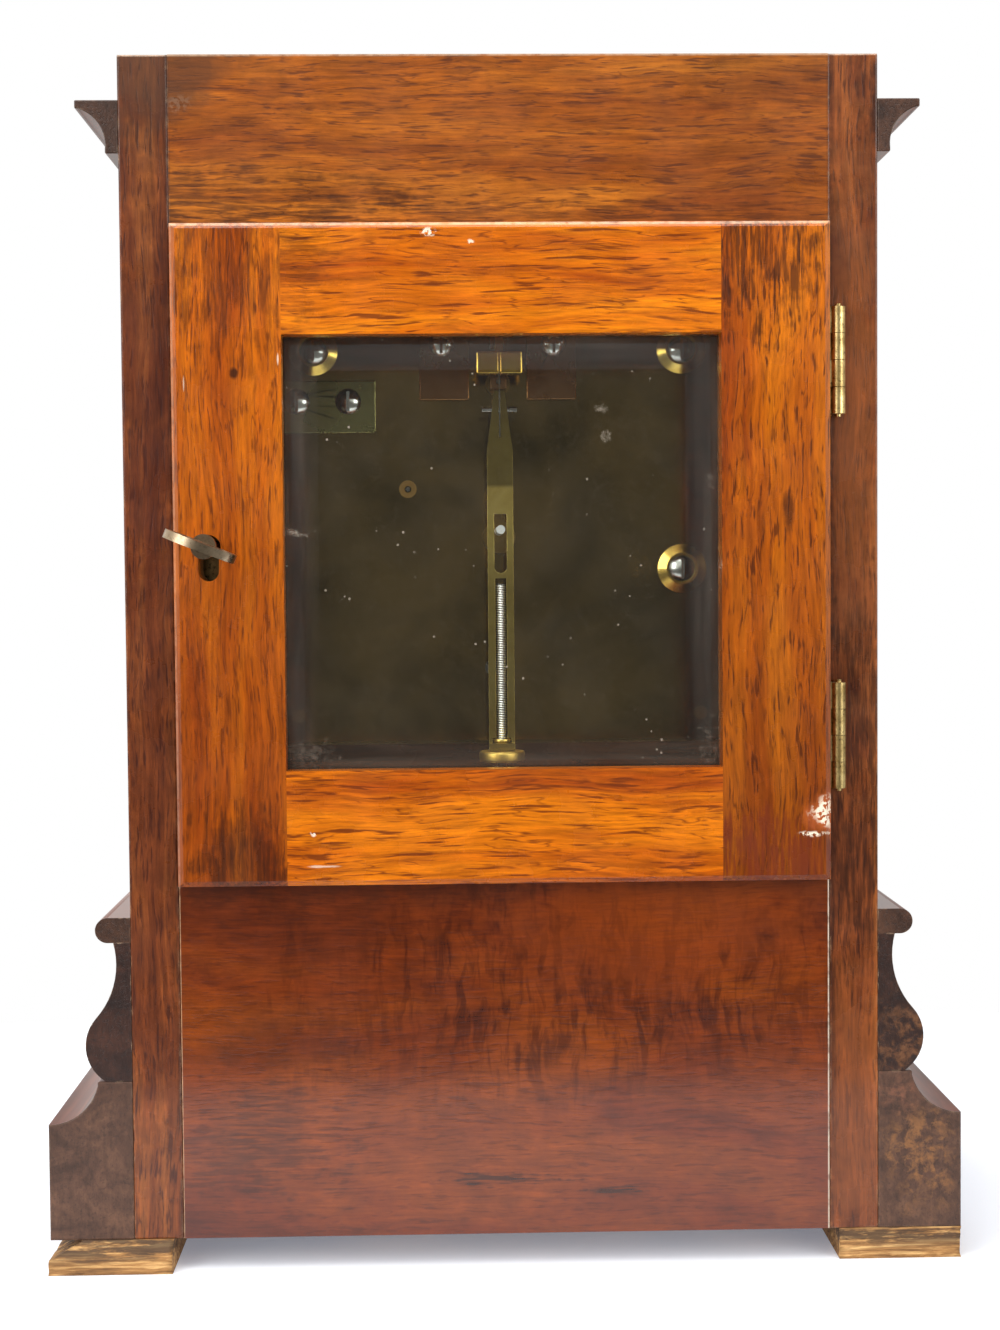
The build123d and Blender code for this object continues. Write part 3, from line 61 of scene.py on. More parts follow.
def shade(red, green, blue):
    """A colour given as it looks on a screen, 0 to 255, as linear light."""
    def linear(value):
        value /= 255
        return value / 12.92 if value <= 0.04045 else ((value + 0.055) / 1.055) ** 2.4
    return linear(red), linear(green), linear(blue), 1.0


class Net:
    """The nodes of one tree. Most calls add a node and return its useful output."""

    def __init__(self, tree):
        self.tree = tree
        tree.nodes.clear()

    def make(self, kind, sockets=None, **settings):
        """Add a node and return the node itself."""
        node = self.tree.nodes.new(kind)
        for key, value in settings.items():
            setattr(node, key, value)
        for key, value in (sockets or {}).items():
            self.feed(node.inputs[key], value)
        return node

    def feed(self, socket, value):
        if isinstance(value, bpy.types.NodeSocket):
            self.tree.links.new(value, socket)
        else:
            socket.default_value = value

    def math(self, operation, first, second=0.0):
        return self.make("ShaderNodeMath", {0: first, 1: second}, operation=operation).outputs[0]

    def vector(self, operation, first, second=(0, 0, 0)):
        return self.make("ShaderNodeVectorMath", {0: first, 1: second}, operation=operation).outputs[0]

    def length(self, first):
        return self.make("ShaderNodeVectorMath", {0: first}, operation="LENGTH").outputs["Value"]

    def spread(self, value, low, high, to_low=0.0, to_high=1.0):
        """A value that runs from low to high, made to run from to_low to to_high and no further."""
        sockets = {0: value, 1: low, 2: high, 3: to_low, 4: to_high}
        return self.make("ShaderNodeMapRange", sockets, clamp=True).outputs[0]


class Finish(Net):
    """The nodes of one material, on the object's own coordinates. Scales count features to the metre."""

    def __init__(self, name):
        self.material = bpy.data.materials.new(name)
        self.material.use_nodes = True
        super().__init__(self.material.node_tree)
        self.out = self.make("ShaderNodeOutputMaterial")
        self.place = self.make("ShaderNodeTexCoord").outputs["Object"]

    def axis(self, which):
        return self.make("ShaderNodeSeparateXYZ", {0: self.place}).outputs[which]

    def noise(self, place, detail, rough=0.55, bend=0.0):
        sockets = {"Vector": place, "Scale": 1.0, "Detail": detail, "Roughness": rough, "Distortion": bend}
        return self.make("ShaderNodeTexNoise", sockets).outputs["Fac"]

    def cells(self, place):
        return self.make("ShaderNodeTexVoronoi", {"Vector": place, "Scale": 1.0}).outputs["Distance"]

    def scaled(self, x, y, z):
        return self.vector("MULTIPLY", self.place, (x, y, z))

    def even(self, scale):
        return self.scaled(scale, scale, scale)

    def along(self, grain, lengthwise, across):
        scale = [across] * 3
        scale[grain] = lengthwise
        return self.scaled(*scale)

    def mix(self, share, first, second, blend="MIX"):
        node = self.make("ShaderNodeMix", data_type="RGBA", blend_type=blend)
        self.feed(node.inputs[0], share)
        self.feed(node.inputs[6], first)
        self.feed(node.inputs[7], second)
        return node.outputs[2]

    def ramp(self, value, stops):
        node = self.make("ShaderNodeValToRGB", {0: value})
        while len(node.color_ramp.elements) < len(stops):
            node.color_ramp.elements.new(0.5)
        for element, (at, colour) in zip(node.color_ramp.elements, stops):
            element.position = at
            element.color = colour
        return node.outputs[0]

    def bump(self, height, strength, distance):
        sockets = {"Height": height, "Strength": strength, "Distance": distance}
        return self.make("ShaderNodeBump", sockets).outputs[0]

    def away(self, centre, reach):
        """Distance from a centre, counted as 1 at its reach along X, Y and Z."""
        return self.length(self.vector("DIVIDE", self.vector("SUBTRACT", self.place, centre), reach))

    def blot(self, centre, reach, ragged=0.35, scale=150):
        """1 at a centre, falling to 0 at its reach along X, Y and Z, with a ragged rim."""
        rough = self.spread(self.noise(self.even(scale), 4), 0.3, 0.7, -ragged, ragged)
        return self.spread(self.math("ADD", self.away(centre, reach), rough), 1.0, 0.45)

    def near(self, which, at, width):
        """1 on the plane across an axis, falling to 0 at a width from it."""
        off = self.math("ABSOLUTE", self.math("SUBTRACT", self.axis(which), at))
        return self.spread(off, width, width * 0.35)

    def faces_back(self):
        """1 on the faces that look to the back of the clock."""
        normal = self.make("ShaderNodeNewGeometry").outputs["Normal"]
        return self.spread(self.make("ShaderNodeSeparateXYZ", {0: normal}).outputs[Y], 0.5, 0.8)

    def worn_edge(self, radius):
        """1 where a sharp edge of the piece is near."""
        soft = self.make("ShaderNodeBevel", {"Radius": radius}, samples=4).outputs[0]
        flat = self.make("ShaderNodeNewGeometry").outputs["Normal"]
        likeness = self.make("ShaderNodeVectorMath", {0: soft, 1: flat}, operation="DOT_PRODUCT")
        return self.spread(likeness.outputs["Value"], 0.985, 0.86)

    def surface(self, **sockets):
        shader = self.make("ShaderNodeBsdfPrincipled", {k.replace("_", " "): v for k, v in sockets.items()})
        return self.show(shader)

    def show(self, shader):
        """Make a shader node the material's surface."""
        self.tree.links.new(shader.outputs[0], self.out.inputs[0])
        return self.material


# Materials of the case

# How far the grain wanders from straight, and how far a mark reaches in behind its face
SWAY = (7 * MM, 7 * MM, 7 * MM)
DEEP = 100 * MM
# Heights of the bumps
PORE_BUMP, END_GRAIN_BUMP, SPLINTER_BUMP, BRUSH_BUMP = 0.1 * MM, 0.4 * MM, 0.6 * MM, 0.05 * MM
# Pale wood on the worn edges of the boards and of the mouldings, and how wide the wear is
BOARD_WORN, BOARD_EDGE = (178, 140, 104), 0.8 * MM
MOULDING_WORN, MOULDING_EDGE = (176, 146, 116), 0.5 * MM


def marked(net, tone, grain, marks_and_painted_shadow, joints):
    """A wood tone with its stains, chips, blooms and painted shadow, and the dirt, wear, painted shade and
    painted highlights along its joints and edges laid over it.
    """
    stripe = net.noise(net.along(grain, 80, 950), 3, 0.6)
    for kind, centre, reach, colour, share in marks_and_painted_shadow:
        if kind == "patch":
            mask = net.spread(net.blot(centre, reach, 0.3, 60), 0.0, 0.8)
        else:
            mask = net.blot(centre, reach)
        if kind == "streak":
            heavy = net.spread(net.math("ADD", stripe, net.math("MULTIPLY", mask, 0.16)), 0.54, 0.72)
            mask = net.math("MULTIPLY", heavy, net.spread(mask, 0.0, 0.6))
        if kind == "bloom":
            cloudy = net.spread(net.noise(net.even(240), 6, 0.7, 0.3), 0.46, 0.62)
            mask = net.math("MULTIPLY", mask, cloudy)
        if kind == "chip":
            mask = net.math("MULTIPLY", mask, net.spread(net.noise(net.even(620), 3), 0.46, 0.52))
        tone = net.mix(net.math("MULTIPLY", mask, share), tone, shade(*colour))
    # Lines along joints and edges, some of them painted shade and painted highlights
    for which, at, width, colour, share in joints:
        uneven = net.spread(net.noise(net.even(330), 4), 0.36, 0.56, 0.4 * share, share)
        line = net.math("MULTIPLY", net.near(which, at, width), net.faces_back())
        tone = net.mix(net.math("MULTIPLY", line, uneven), tone, shade(*colour))
    return tone


def wood(name, grain, tones, pore, figure=(6, 70), line=(30, 430), dash=(100, 1000), depth=0.7,
         gloss=(0.2, 0.34), coat=0.25, marks_and_painted_shadow=(), joints=(), fade=None, ripple=None, wear=0.0, shine=0.3,
         fibre=(0.62, 1.32), mottle=(0.94, 1.06)):
    """Polished mahogany with its grain along one axis.

    Figure, grain lines and dashes have a scale along the grain and one across it. Fibre and mottle are the
    least and the most that the tone is multiplied by. Fade is painted shade that darkens the wood
    downwards, and ripple is a flame figure round a centre.
    """
    net = Finish(name)
    straight = net.place
    bend = net.make("ShaderNodeTexNoise", {"Vector": net.along(grain, 18, 40), "Scale": 1.0, "Detail": 2.0})
    sway = net.vector("MULTIPLY", net.vector("SUBTRACT", bend.outputs["Color"], (0.5, 0.5, 0.5)), SWAY)
    net.place = net.vector("ADD", straight, sway)
    dark, middle, light = (shade(*tone) for tone in tones)
    broad = net.noise(net.along(grain, *figure), 4, 0.55, 0.6)
    tone = net.ramp(broad, [(0.36, dark), (0.5, middle), (0.64, light)])
    strands = net.noise(net.along(grain, 55, 950), 5, 0.68)
    tone = net.mix(1.0, tone, net.spread(strands, 0.32, 0.68, *fibre), "MULTIPLY")
    clouds = net.noise(net.along(grain, 90, 150), 5, 0.65, 0.3)
    tone = net.mix(1.0, tone, net.spread(clouds, 0.34, 0.66, *mottle), "MULTIPLY")
    if ripple:
        share, centre, reach = ripple
        strokes = net.spread(net.noise(net.scaled(300, 8, 70), 3, 0.55, 0.6), 0.46, 0.62, 0.0, share)
        flame = net.math("MULTIPLY", strokes, net.blot(centre, reach, 0.3, 40))
        tone = net.mix(flame, tone, (0.3, 0.24, 0.2, 1), "MULTIPLY")
    # Painted shade, darker downwards
    if fade:
        low, high, colour, share = fade
        tone = net.mix(net.spread(net.axis(Z), high, low, 0, share), tone, colour, "MULTIPLY")
    middle_line = net.math("SUBTRACT", net.noise(net.along(grain, *line), 2, 0.5, 0.25), 0.5)
    lines = net.spread(net.math("ABSOLUTE", middle_line), 0.026, 0.003)
    broken = net.spread(net.noise(net.along(grain, line[0] * 3, line[1] * 0.45), 2), 0.45, 0.58)
    dashes = net.spread(net.noise(net.along(grain, *dash), 2), 0.57, 0.66)
    pores = net.math("MAXIMUM", net.math("MULTIPLY", net.math("MULTIPLY", lines, broken), 0.85), dashes)
    pores = net.math("MULTIPLY", pores, depth)
    tone = net.mix(pores, tone, shade(*pore))
    net.place = straight
    tone = marked(net, tone, grain, marks_and_painted_shadow, joints)
    if wear:
        rubbed = net.spread(net.noise(net.even(260), 4), 0.5, 0.64, 0, wear)
        worn = net.math("MULTIPLY", net.worn_edge(BOARD_EDGE), rubbed)
        tone = net.mix(worn, tone, shade(*BOARD_WORN))
    dull = net.spread(net.noise(net.even(55), 5), 0.3, 0.7, *gloss)
    relief = net.math("ADD", pores, net.math("MULTIPLY", strands, 0.5))
    return net.surface(Base_Color=tone, Roughness=dull, Coat_Weight=coat, Coat_Roughness=0.1,
                       Specular_IOR_Level=shine,
                       Normal=net.bump(net.math("MULTIPLY", relief, -1.0), 0.3, PORE_BUMP))


def moulding(name, end_at, tones, long_tones, marks_and_painted_shadow=()):
    """Dark open end grain on the sawn ends, polished long grain on the runs, pale along rubbed edges."""
    net = Finish(name)
    dark, middle, light = (shade(*tone) for tone in tones)
    swirl = net.noise(net.scaled(60, 60, 90), 6, 0.68, 0.7)
    tone = net.ramp(swirl, [(0.25, dark), (0.5, middle), (0.8, light)])
    dots = net.spread(net.noise(net.scaled(1300, 120, 1300), 2), 0.56, 0.66)
    tone = net.mix(net.math("MULTIPLY", dots, 0.4), tone, dark)
    grit = net.noise(net.scaled(700, 120, 260), 4, 0.7)
    tone = net.mix(1.0, tone, net.spread(grit, 0.34, 0.66, 0.76, 1.24), "MULTIPLY")
    tone = marked(net, tone, X, marks_and_painted_shadow, ())
    run_dark, run_middle, run_light = (shade(*long_tone) for long_tone in long_tones)
    run_grain = net.noise(net.scaled(11, 11, 560), 5, 0.62, 0.4)
    run = net.ramp(run_grain, [(0.36, run_dark), (0.5, run_middle), (0.64, run_light)])
    sawn = net.spread(net.axis(Y), end_at - 0.6 * MM, end_at - 0.2 * MM)
    tone = net.mix(sawn, run, tone)
    rubbed = net.spread(net.noise(net.even(320), 4), 0.5, 0.66, 0, 0.8)
    worn = net.math("MULTIPLY", net.worn_edge(MOULDING_EDGE), rubbed)
    tone = net.mix(worn, tone, shade(*MOULDING_WORN))
    height = net.math("ADD", net.math("ADD", swirl, grit), net.math("MULTIPLY", dots, -0.5))
    return net.surface(Base_Color=tone, Roughness=net.spread(sawn, 0, 1, 0.28, 0.46), Coat_Weight=0.12,
                       Coat_Roughness=0.16, Specular_IOR_Level=0.3,
                       Normal=net.bump(net.math("MULTIPLY", height, sawn), 0.45, END_GRAIN_BUMP))


def raw_wood(name):
    """Rough softwood of the feet: pale splintered fibres under a dark stain, thinner at the bottom."""
    net = Finish(name)
    dark, middle, light = shade(80, 50, 24), shade(168, 120, 66), shade(228, 182, 118)
    fibre = net.noise(net.along(X, 35, 700), 5, 0.7, 0.4)
    tone = net.ramp(fibre, [(0.32, dark), (0.5, middle), (0.66, light)])
    stain = net.spread(net.noise(net.along(X, 34, 240), 5, 0.72), 0.44, 0.53)
    upper = net.spread(net.axis(Z), 3 * MM, 6 * MM, 0.25, 1.0)
    tone = net.mix(net.math("MULTIPLY", net.math("MULTIPLY", stain, upper), 0.85), tone, shade(52, 36, 24))
    return net.surface(Base_Color=tone, Roughness=0.72, Normal=net.bump(fibre, 0.8, SPLINTER_BUMP))


# Materials of the metal, glass and dial

def metal(name, bright, dull, rough, scale=90, brushed=None, grime=0.0, tip=None, shade_bands=(), sink=None,
          roots=None):
    """Bare metal with cloudy tarnish.

    Where they are given it has brush lines along an axis, dark spots, a steel tip, painted shade in bands,
    an oil sink or painted shade in the roots of a thread.
    """
    net = Finish(name)
    cloud = net.noise(net.even(scale), 5, 0.6, 0.5)
    tone = net.mix(net.spread(cloud, 0.36, 0.66), shade(*bright), shade(*dull))
    if grime:
        spots = net.spread(net.noise(net.even(scale * 6), 4), 0.55, 0.7, 0, grime)
        tone = net.mix(spots, tone, shade(52, 38, 20))
    # Painted shade in bands across the height
    for clear_at, dark_at, share in shade_bands:
        tone = net.mix(net.spread(net.axis(Z), clear_at, dark_at, 0, share), tone, (0, 0, 0, 1))
    rough_map = net.spread(cloud, 0.3, 0.7, *rough)
    if sink:
        centre, reach = sink
        away = net.away(centre, (reach, DEEP, reach))
        dished = net.spread(away, 1.05, 0.95)
        tone = net.mix(dished, tone, shade(184, 146, 84))
        tone = net.mix(net.spread(away, 0.42, 0.34), tone, shade(40, 30, 18))
        rough_map = net.math("MAXIMUM", rough_map, net.math("MULTIPLY", dished, 0.4))
    # Painted shade in the roots of a thread
    if roots:
        centre, low, high = roots
        away = net.length(net.vector("MULTIPLY", net.vector("SUBTRACT", net.place, centre), (1, 1, 0)))
        tone = net.mix(net.spread(away, high, low, 0, 0.75), tone, shade(84, 80, 74))
    if tip:
        centre, reach = tip
        steel = net.spread(net.away(centre, (reach, DEEP, reach)), 1.12, 1.04)
        tone = net.mix(steel, tone, shade(244, 246, 246))
        rough_map = net.math("MAXIMUM", rough_map, net.math("MULTIPLY", steel, 0.5))
    if brushed is None:
        height = net.noise(net.even(scale * 12), 3)
    else:
        height = net.noise(net.along(brushed, 40, 2600), 3)
    return net.surface(Base_Color=tone, Metallic=1.0, Roughness=rough_map,
                       Normal=net.bump(height, 0.12, BRUSH_BUMP))


def pane(name, tint, haze, bevel=None, smears=()):
    """Clear glass with a film of dust and specks, cloudy along a bevelled rim, and a few smears."""
    net = Finish(name)
    clear = net.make("ShaderNodeBsdfTransparent", {0: tint})
    shine = net.make("ShaderNodeBsdfGlossy", {"Roughness": 0.02})
    aslant = net.make("ShaderNodeLayerWeight", {"Blend": 0.5}).outputs["Facing"]
    mirror = net.spread(net.math("POWER", aslant, 5.0), 0.0, 1.0, 0.04, 1.0)
    glass = net.make("ShaderNodeMixShader", {0: mirror, 1: clear.outputs[0], 2: shine.outputs[0]})
    film = net.spread(net.noise(net.even(38), 5, 0.6, 0.8), 0.4, 0.72, 0.2 * haze, haze)
    specks = net.spread(net.cells(net.even(170)), 0.08, 0.05)
    few = net.spread(net.noise(net.even(60), 2), 0.51, 0.57)
    film = net.math("MAXIMUM", film, net.math("MULTIPLY", net.math("MULTIPLY", specks, few), 0.5))
    film = net.math("ADD", film, net.spread(net.noise(net.even(900), 3, 0.6), 0.54, 0.76, 0.0, 1.6 * haze))
    if bevel:
        low, high, reach = bevel
        middle, half = (low + high) / 2, (high - low) / 2
        off = net.vector("ABSOLUTE", net.vector("SUBTRACT", net.place, middle))
        parts = net.make("ShaderNodeSeparateXYZ", {0: off})
        out_x = net.spread(parts.outputs[X], half.x - reach, half.x - reach * 0.5)
        out_z = net.spread(parts.outputs[Z], half.z - reach, half.z - reach * 0.5)
        wiped = net.spread(net.noise(net.scaled(260, 260, 22), 4, 0.6), 0.4, 0.7, 0.03, 0.11)
        crossed = net.spread(net.noise(net.scaled(22, 260, 260), 4, 0.6), 0.4, 0.7, 0.02, 0.08)
        film = net.math("MAXIMUM", film, net.math("MULTIPLY", out_x, wiped))
        film = net.math("MAXIMUM", film, net.math("MULTIPLY", out_z, crossed))
    for centre, reach, strength in smears:
        cloud = net.spread(net.noise(net.even(520), 5, 0.75), 0.44, 0.66, 0.0, 1.0)
        mask = net.math("MULTIPLY", net.blot(centre, reach, 0.7, 400), cloud)
        film = net.math("MAXIMUM", film, net.math("MULTIPLY", mask, strength))
    dust = net.make("ShaderNodeBsdfDiffuse", {0: shade(182, 168, 152)})
    return net.show(net.make("ShaderNodeMixShader", {0: film, 1: glass.outputs[0], 2: dust.outputs[0]}))


def enamel(name):
    """Cream dial with faint age spots and crazing."""
    net = Finish(name)
    age = net.noise(net.even(45), 5, 0.65)
    tone = net.mix(net.spread(age, 0.45, 0.7, 0, 0.5), shade(240, 234, 214), shade(214, 200, 164))
    craze = net.spread(net.cells(net.even(170)), 0.0, 0.04, 1, 0)
    tone = net.mix(net.math("MULTIPLY", craze, 0.12), tone, shade(120, 100, 70))
    return net.surface(Base_Color=tone, Roughness=net.spread(age, 0.3, 0.7, 0.2, 0.36), Coat_Weight=0.3)


def paint(name, tone, other, rough):
    """A dark finish, uneven in colour and gloss."""
    net = Finish(name)
    cloud = net.noise(net.even(160), 4)
    return net.surface(Base_Color=net.mix(net.spread(cloud, 0.35, 0.65), shade(*tone), shade(*other)),
                       Roughness=net.spread(cloud, 0.3, 0.7, rough - 0.06, rough + 0.08), Metallic=0.6)


# Marks, painted shade and painted highlights on the woodwork, and marks on the glass

def mark(kind, x, y, z, wide, tall, colour, share):
    """A mark round a point on a back face: its reach across and up in millimetres, colour and strength."""
    return kind, Vector((x, y, z)), (wide * MM, DEEP, tall * MM), colour, share


def smear(x, z, wide, tall, strength):
    """A smear round a point on the outer face of the door's glass, with its reach in millimetres."""
    return Vector((x, glass_high.y, z)), (wide * MM, DEEP, tall * MM), strength


lock_x = (lock_low.x + lock_high.x) / 2
hinge_x = (hinge_low.x + hinge_high.x) / 2
door_y, panel_y, rail_y, case_y = lock_high.y, panel_high.y, rail_high.y, right_high.y
sight = glass_high.x - 5 * MM
# The first colour is grime, and also the painted shade beside and under the door
GRIME_AND_SHADE, RED_STAIN, FILLER, BARE = (50, 22, 8), (104, 40, 16), (240, 222, 196), (186, 96, 48)

lock_marks = [
    mark("streak", lock_x, door_y, lock_high.z - 6 * MM, 24, 40, GRIME_AND_SHADE, 0.5),
    mark("streak", lock_x - 3 * MM, door_y, lock_low.z + 10 * MM, 18, 20, GRIME_AND_SHADE, 0.6),
    mark("spot", lock_x - 3 * MM, door_y, lock_low.z + 9 * MM, 14, 12, GRIME_AND_SHADE, 0.42),
    mark("spot", lock_high.x - 19 * MM, door_y, lock_high.z - 45 * MM, 1.6, 2, GRIME_AND_SHADE, 0.9),
    mark("spot", lock_high.x - 4 * MM, door_y, lock_high.z - 48 * MM, 0.3, 3, FILLER, 0.4),
    mark("spot", lock_low.x + 1 * MM, door_y, lock_high.z - 41 * MM, 0.35, 2, FILLER, 0.6),
]
hinge_marks = [
    mark("streak", hinge_x + 4 * MM, door_y, hinge_high.z - 4 * MM, 26, 34, GRIME_AND_SHADE, 0.75),
    mark("streak", hinge_x, door_y, hinge_low.z + 6 * MM, 30, 22, RED_STAIN, 0.8),
    mark("spot", hinge_low.x + 3 * MM, door_y, hinge_low.z + 19 * MM, 6.5, 7.5, BARE, 0.6),
    mark("chip", hinge_low.x + 2.6 * MM, door_y, hinge_low.z + 20.5 * MM, 4.6, 5, FILLER, 1.0),
    mark("chip", hinge_low.x + 5.3 * MM, door_y, hinge_low.z + 14.3 * MM, 7, 1.2, FILLER, 1.0),
    mark("spot", hinge_low.x + 13 * MM, door_y, hinge_high.z - 88 * MM, 2, 7, GRIME_AND_SHADE, 0.7),
]
door_rail_marks = [
    mark("chip", 22 * MM, door_y, lock_high.z - 3 * MM, 2.4, 1.6, FILLER, 1.0),
    mark("chip", 9 * MM, door_y, lock_high.z - 6 * MM, 1.4, 1, FILLER, 0.9),
    mark("chip", 58 * MM, door_y, lock_low.z + 16 * MM, 1.2, 1, FILLER, 0.9),
    mark("spot", 55 * MM, door_y, lock_low.z + 6 * MM, 6, 0.5, FILLER, 0.5),
    mark("streak", 60 * MM, door_y, lock_high.z - 10 * MM, 12, 26, GRIME_AND_SHADE, 0.5),
]
top_marks = [
    mark("patch", rail_high.x + 8 * MM, rail_y, rail_high.z + 3 * MM, 36, 30, (72, 42, 24), 0.7),
    mark("chip", rail_high.x - 3 * MM, rail_y, rail_high.z - 15 * MM, 5, 3, (150, 122, 100), 0.25),
    mark("streak", rail_high.x - 26 * MM, rail_y, rail_low.z + 4 * MM, 60, 16, GRIME_AND_SHADE, 0.55),
    mark("streak", 0, rail_y, rail_low.z, 140, 9, GRIME_AND_SHADE, 0.5),
    mark("spot", rail_low.x + 18 * MM, rail_y, rail_high.z - 6 * MM, 34, 13, GRIME_AND_SHADE, 0.3),
]
panel_marks_and_shadow = [
    mark("streak", 2 * MM, panel_y, panel_low.z + 17 * MM, 26, 2.6, GRIME_AND_SHADE, 0.9),
    mark("streak", -34 * MM, panel_y, panel_low.z + 13 * MM, 12, 2, GRIME_AND_SHADE, 0.9),
    mark("streak", 74 * MM, panel_y, panel_low.z + 30 * MM, 32, 24, GRIME_AND_SHADE, 0.5),
    mark("spot", 70 * MM, panel_y, panel_low.z + 60 * MM, 30, 12, GRIME_AND_SHADE, 0.3),
    # Painted shadow of the door along the top of the panel
    mark("spot", 0, panel_y, panel_high.z, 160, 7, GRIME_AND_SHADE, 0.45),
    mark("spot", -44 * MM, panel_y, panel_high.z - 16 * MM, 66, 24, (150, 64, 8), 0.3),
]
side_marks = [
    mark("patch", rail_high.x + 8 * MM, case_y, right_high.z + 3 * MM, 36, 38, (66, 42, 30), 0.75),
    mark("spot", left_low.x + 8 * MM, case_y, 260 * MM, 14, 120, (170, 102, 52), 0.2),
    mark("spot", right_high.x - 6 * MM, case_y, 280 * MM, 13, 100, (62, 24, 14), 0.35),
    mark("spot", left_low.x, case_y, left_high.z - 16 * MM, 3, 16, GRIME_AND_SHADE, 0.9),
    mark("spot", right_high.x - 6 * MM, case_y, 170 * MM, 13, 200, (70, 26, 16), 0.3),
    mark("spot", left_low.x + 7 * MM, case_y, 45 * MM, 18, 56, (178, 100, 46), 0.17),
    mark("streak", left_low.x + 6 * MM, case_y, 150 * MM, 16, 70, GRIME_AND_SHADE, 0.7),
]
plinth_marks = [
    mark("bloom", -128 * MM, case_y, 32 * MM, 14, 20, (132, 88, 50), 0.9),
    mark("bloom", -122 * MM, case_y, 52 * MM, 10, 9, (126, 80, 58), 0.7),
]
ogee_marks = [mark("bloom", -123 * MM, case_y, 66 * MM, 11, 18, (116, 74, 42), 0.7)]
pane_smears = [
    smear(glass_high.x - 10 * MM, glass_low.z + 9 * MM, 10, 6, 0.22),
    smear(glass_low.x + 8 * MM, glass_low.z + 12 * MM, 5, 12, 0.22),
    smear(glass_high.x - 8 * MM, 226.5 * MM, 6, 1.3, 0.95),
    smear(glass_low.x + 8 * MM, 241.5 * MM, 2.4, 4, 0.25),
    smear(-30.5 * MM, 263.5 * MM, 1.8, 1.2, 0.45),
    smear(-32 * MM, 255.5 * MM, 1.6, 1.8, 0.4),
]

# Lines along joints and edges: across an axis, at a place, with a width, a colour and a strength. Some are
# painted highlights and painted shade
# A painted highlight along the door's top edge
door_top_highlight = (Z, lock_high.z - 0.5 * MM, 0.7 * MM, (255, 222, 184), 0.6)
case_edge = (Z, left_high.z, 0.8 * MM, (196, 164, 134), 0.8)
# Painted highlights along the lock stile's top and outer edges
lock_highlights = [door_top_highlight, (X, lock_high.x - 0.4 * MM, 0.5 * MM, (230, 176, 140), 0.35)]
door_rail_joints_and_highlight = [(X, sight, 0.6 * MM, GRIME_AND_SHADE, 0.9), (X, -sight, 0.6 * MM, GRIME_AND_SHADE, 0.9), door_top_highlight]
top_joints = [(X, rail_high.x, 0.8 * MM, GRIME_AND_SHADE, 0.4), (X, rail_low.x, 0.8 * MM, GRIME_AND_SHADE, 0.35), case_edge]
panel_joints = [(X, panel_low.x, 0.7 * MM, FILLER, 0.8), (X, panel_high.x, 0.5 * MM, (206, 168, 128), 0.7)]
# The dark strips on the side boards along the door's sides are painted shade
side_joints_and_shade = [case_edge, (X, left_high.x, 2.4 * MM, GRIME_AND_SHADE, 0.6), (X, right_low.x, 1.6 * MM, GRIME_AND_SHADE, 0.5)]

# Painted shade on the door, darker downwards on the stiles and on the bottom rail: the height where the
# wood is darkest, the height where it is clear, the colour and its strength
lock_painted_shade = (lock_low.z, lock_high.z, (0.5, 0.43, 0.7, 1), 0.95)
hinge_painted_shade = (hinge_low.z, hinge_high.z, (0.36, 0.31, 0.62, 1), 0.95)
door_rail_painted_shade = (lock_low.z + 30 * MM, lock_low.z + 60 * MM, (0.88, 0.84, 0.7, 1), 1.0)
# Flame figure in the upper middle of the lower panel: its strength, centre and reach
panel_flame = (0.75, Vector((-16 * MM, panel_y, panel_high.z - 34 * MM)), (110 * MM, DEEP, 42 * MM))

# Finish of every part

# Dark, middle and light tones of each wood
DOOR = ((150, 64, 2), (182, 89, 3), (204, 110, 6))
RAIL = ((160, 70, 1), (192, 96, 2), (212, 116, 4))
SIDE = ((84, 38, 13), (112, 55, 21), (138, 76, 31))
TOP = ((120, 56, 6), (147, 76, 11), (170, 96, 20))
PANEL = ((82, 28, 3), (100, 38, 4), (117, 51, 6))
FRONT = ((98, 40, 16), (138, 64, 24), (166, 88, 36))
SEAT = ((44, 24, 12), (60, 34, 18), (78, 46, 24))
LONG = ((70, 30, 17), (92, 42, 24), (112, 55, 31))
CORNICE_END = ((38, 23, 15), (62, 39, 27), (92, 60, 42))
OGEE_END = ((24, 12, 9), (42, 23, 16), (68, 39, 27))
PLINTH_END = ((46, 29, 20), (76, 51, 38), (108, 75, 55))

sawn_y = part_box("plinth_moulding")[1].y
third_low, third_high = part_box("third_wheel")
third_pivot = (third_low + third_high) / 2
third_pivot.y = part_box("back_plate")[1].y
oil_sink = (third_pivot, 2.9 * MM)
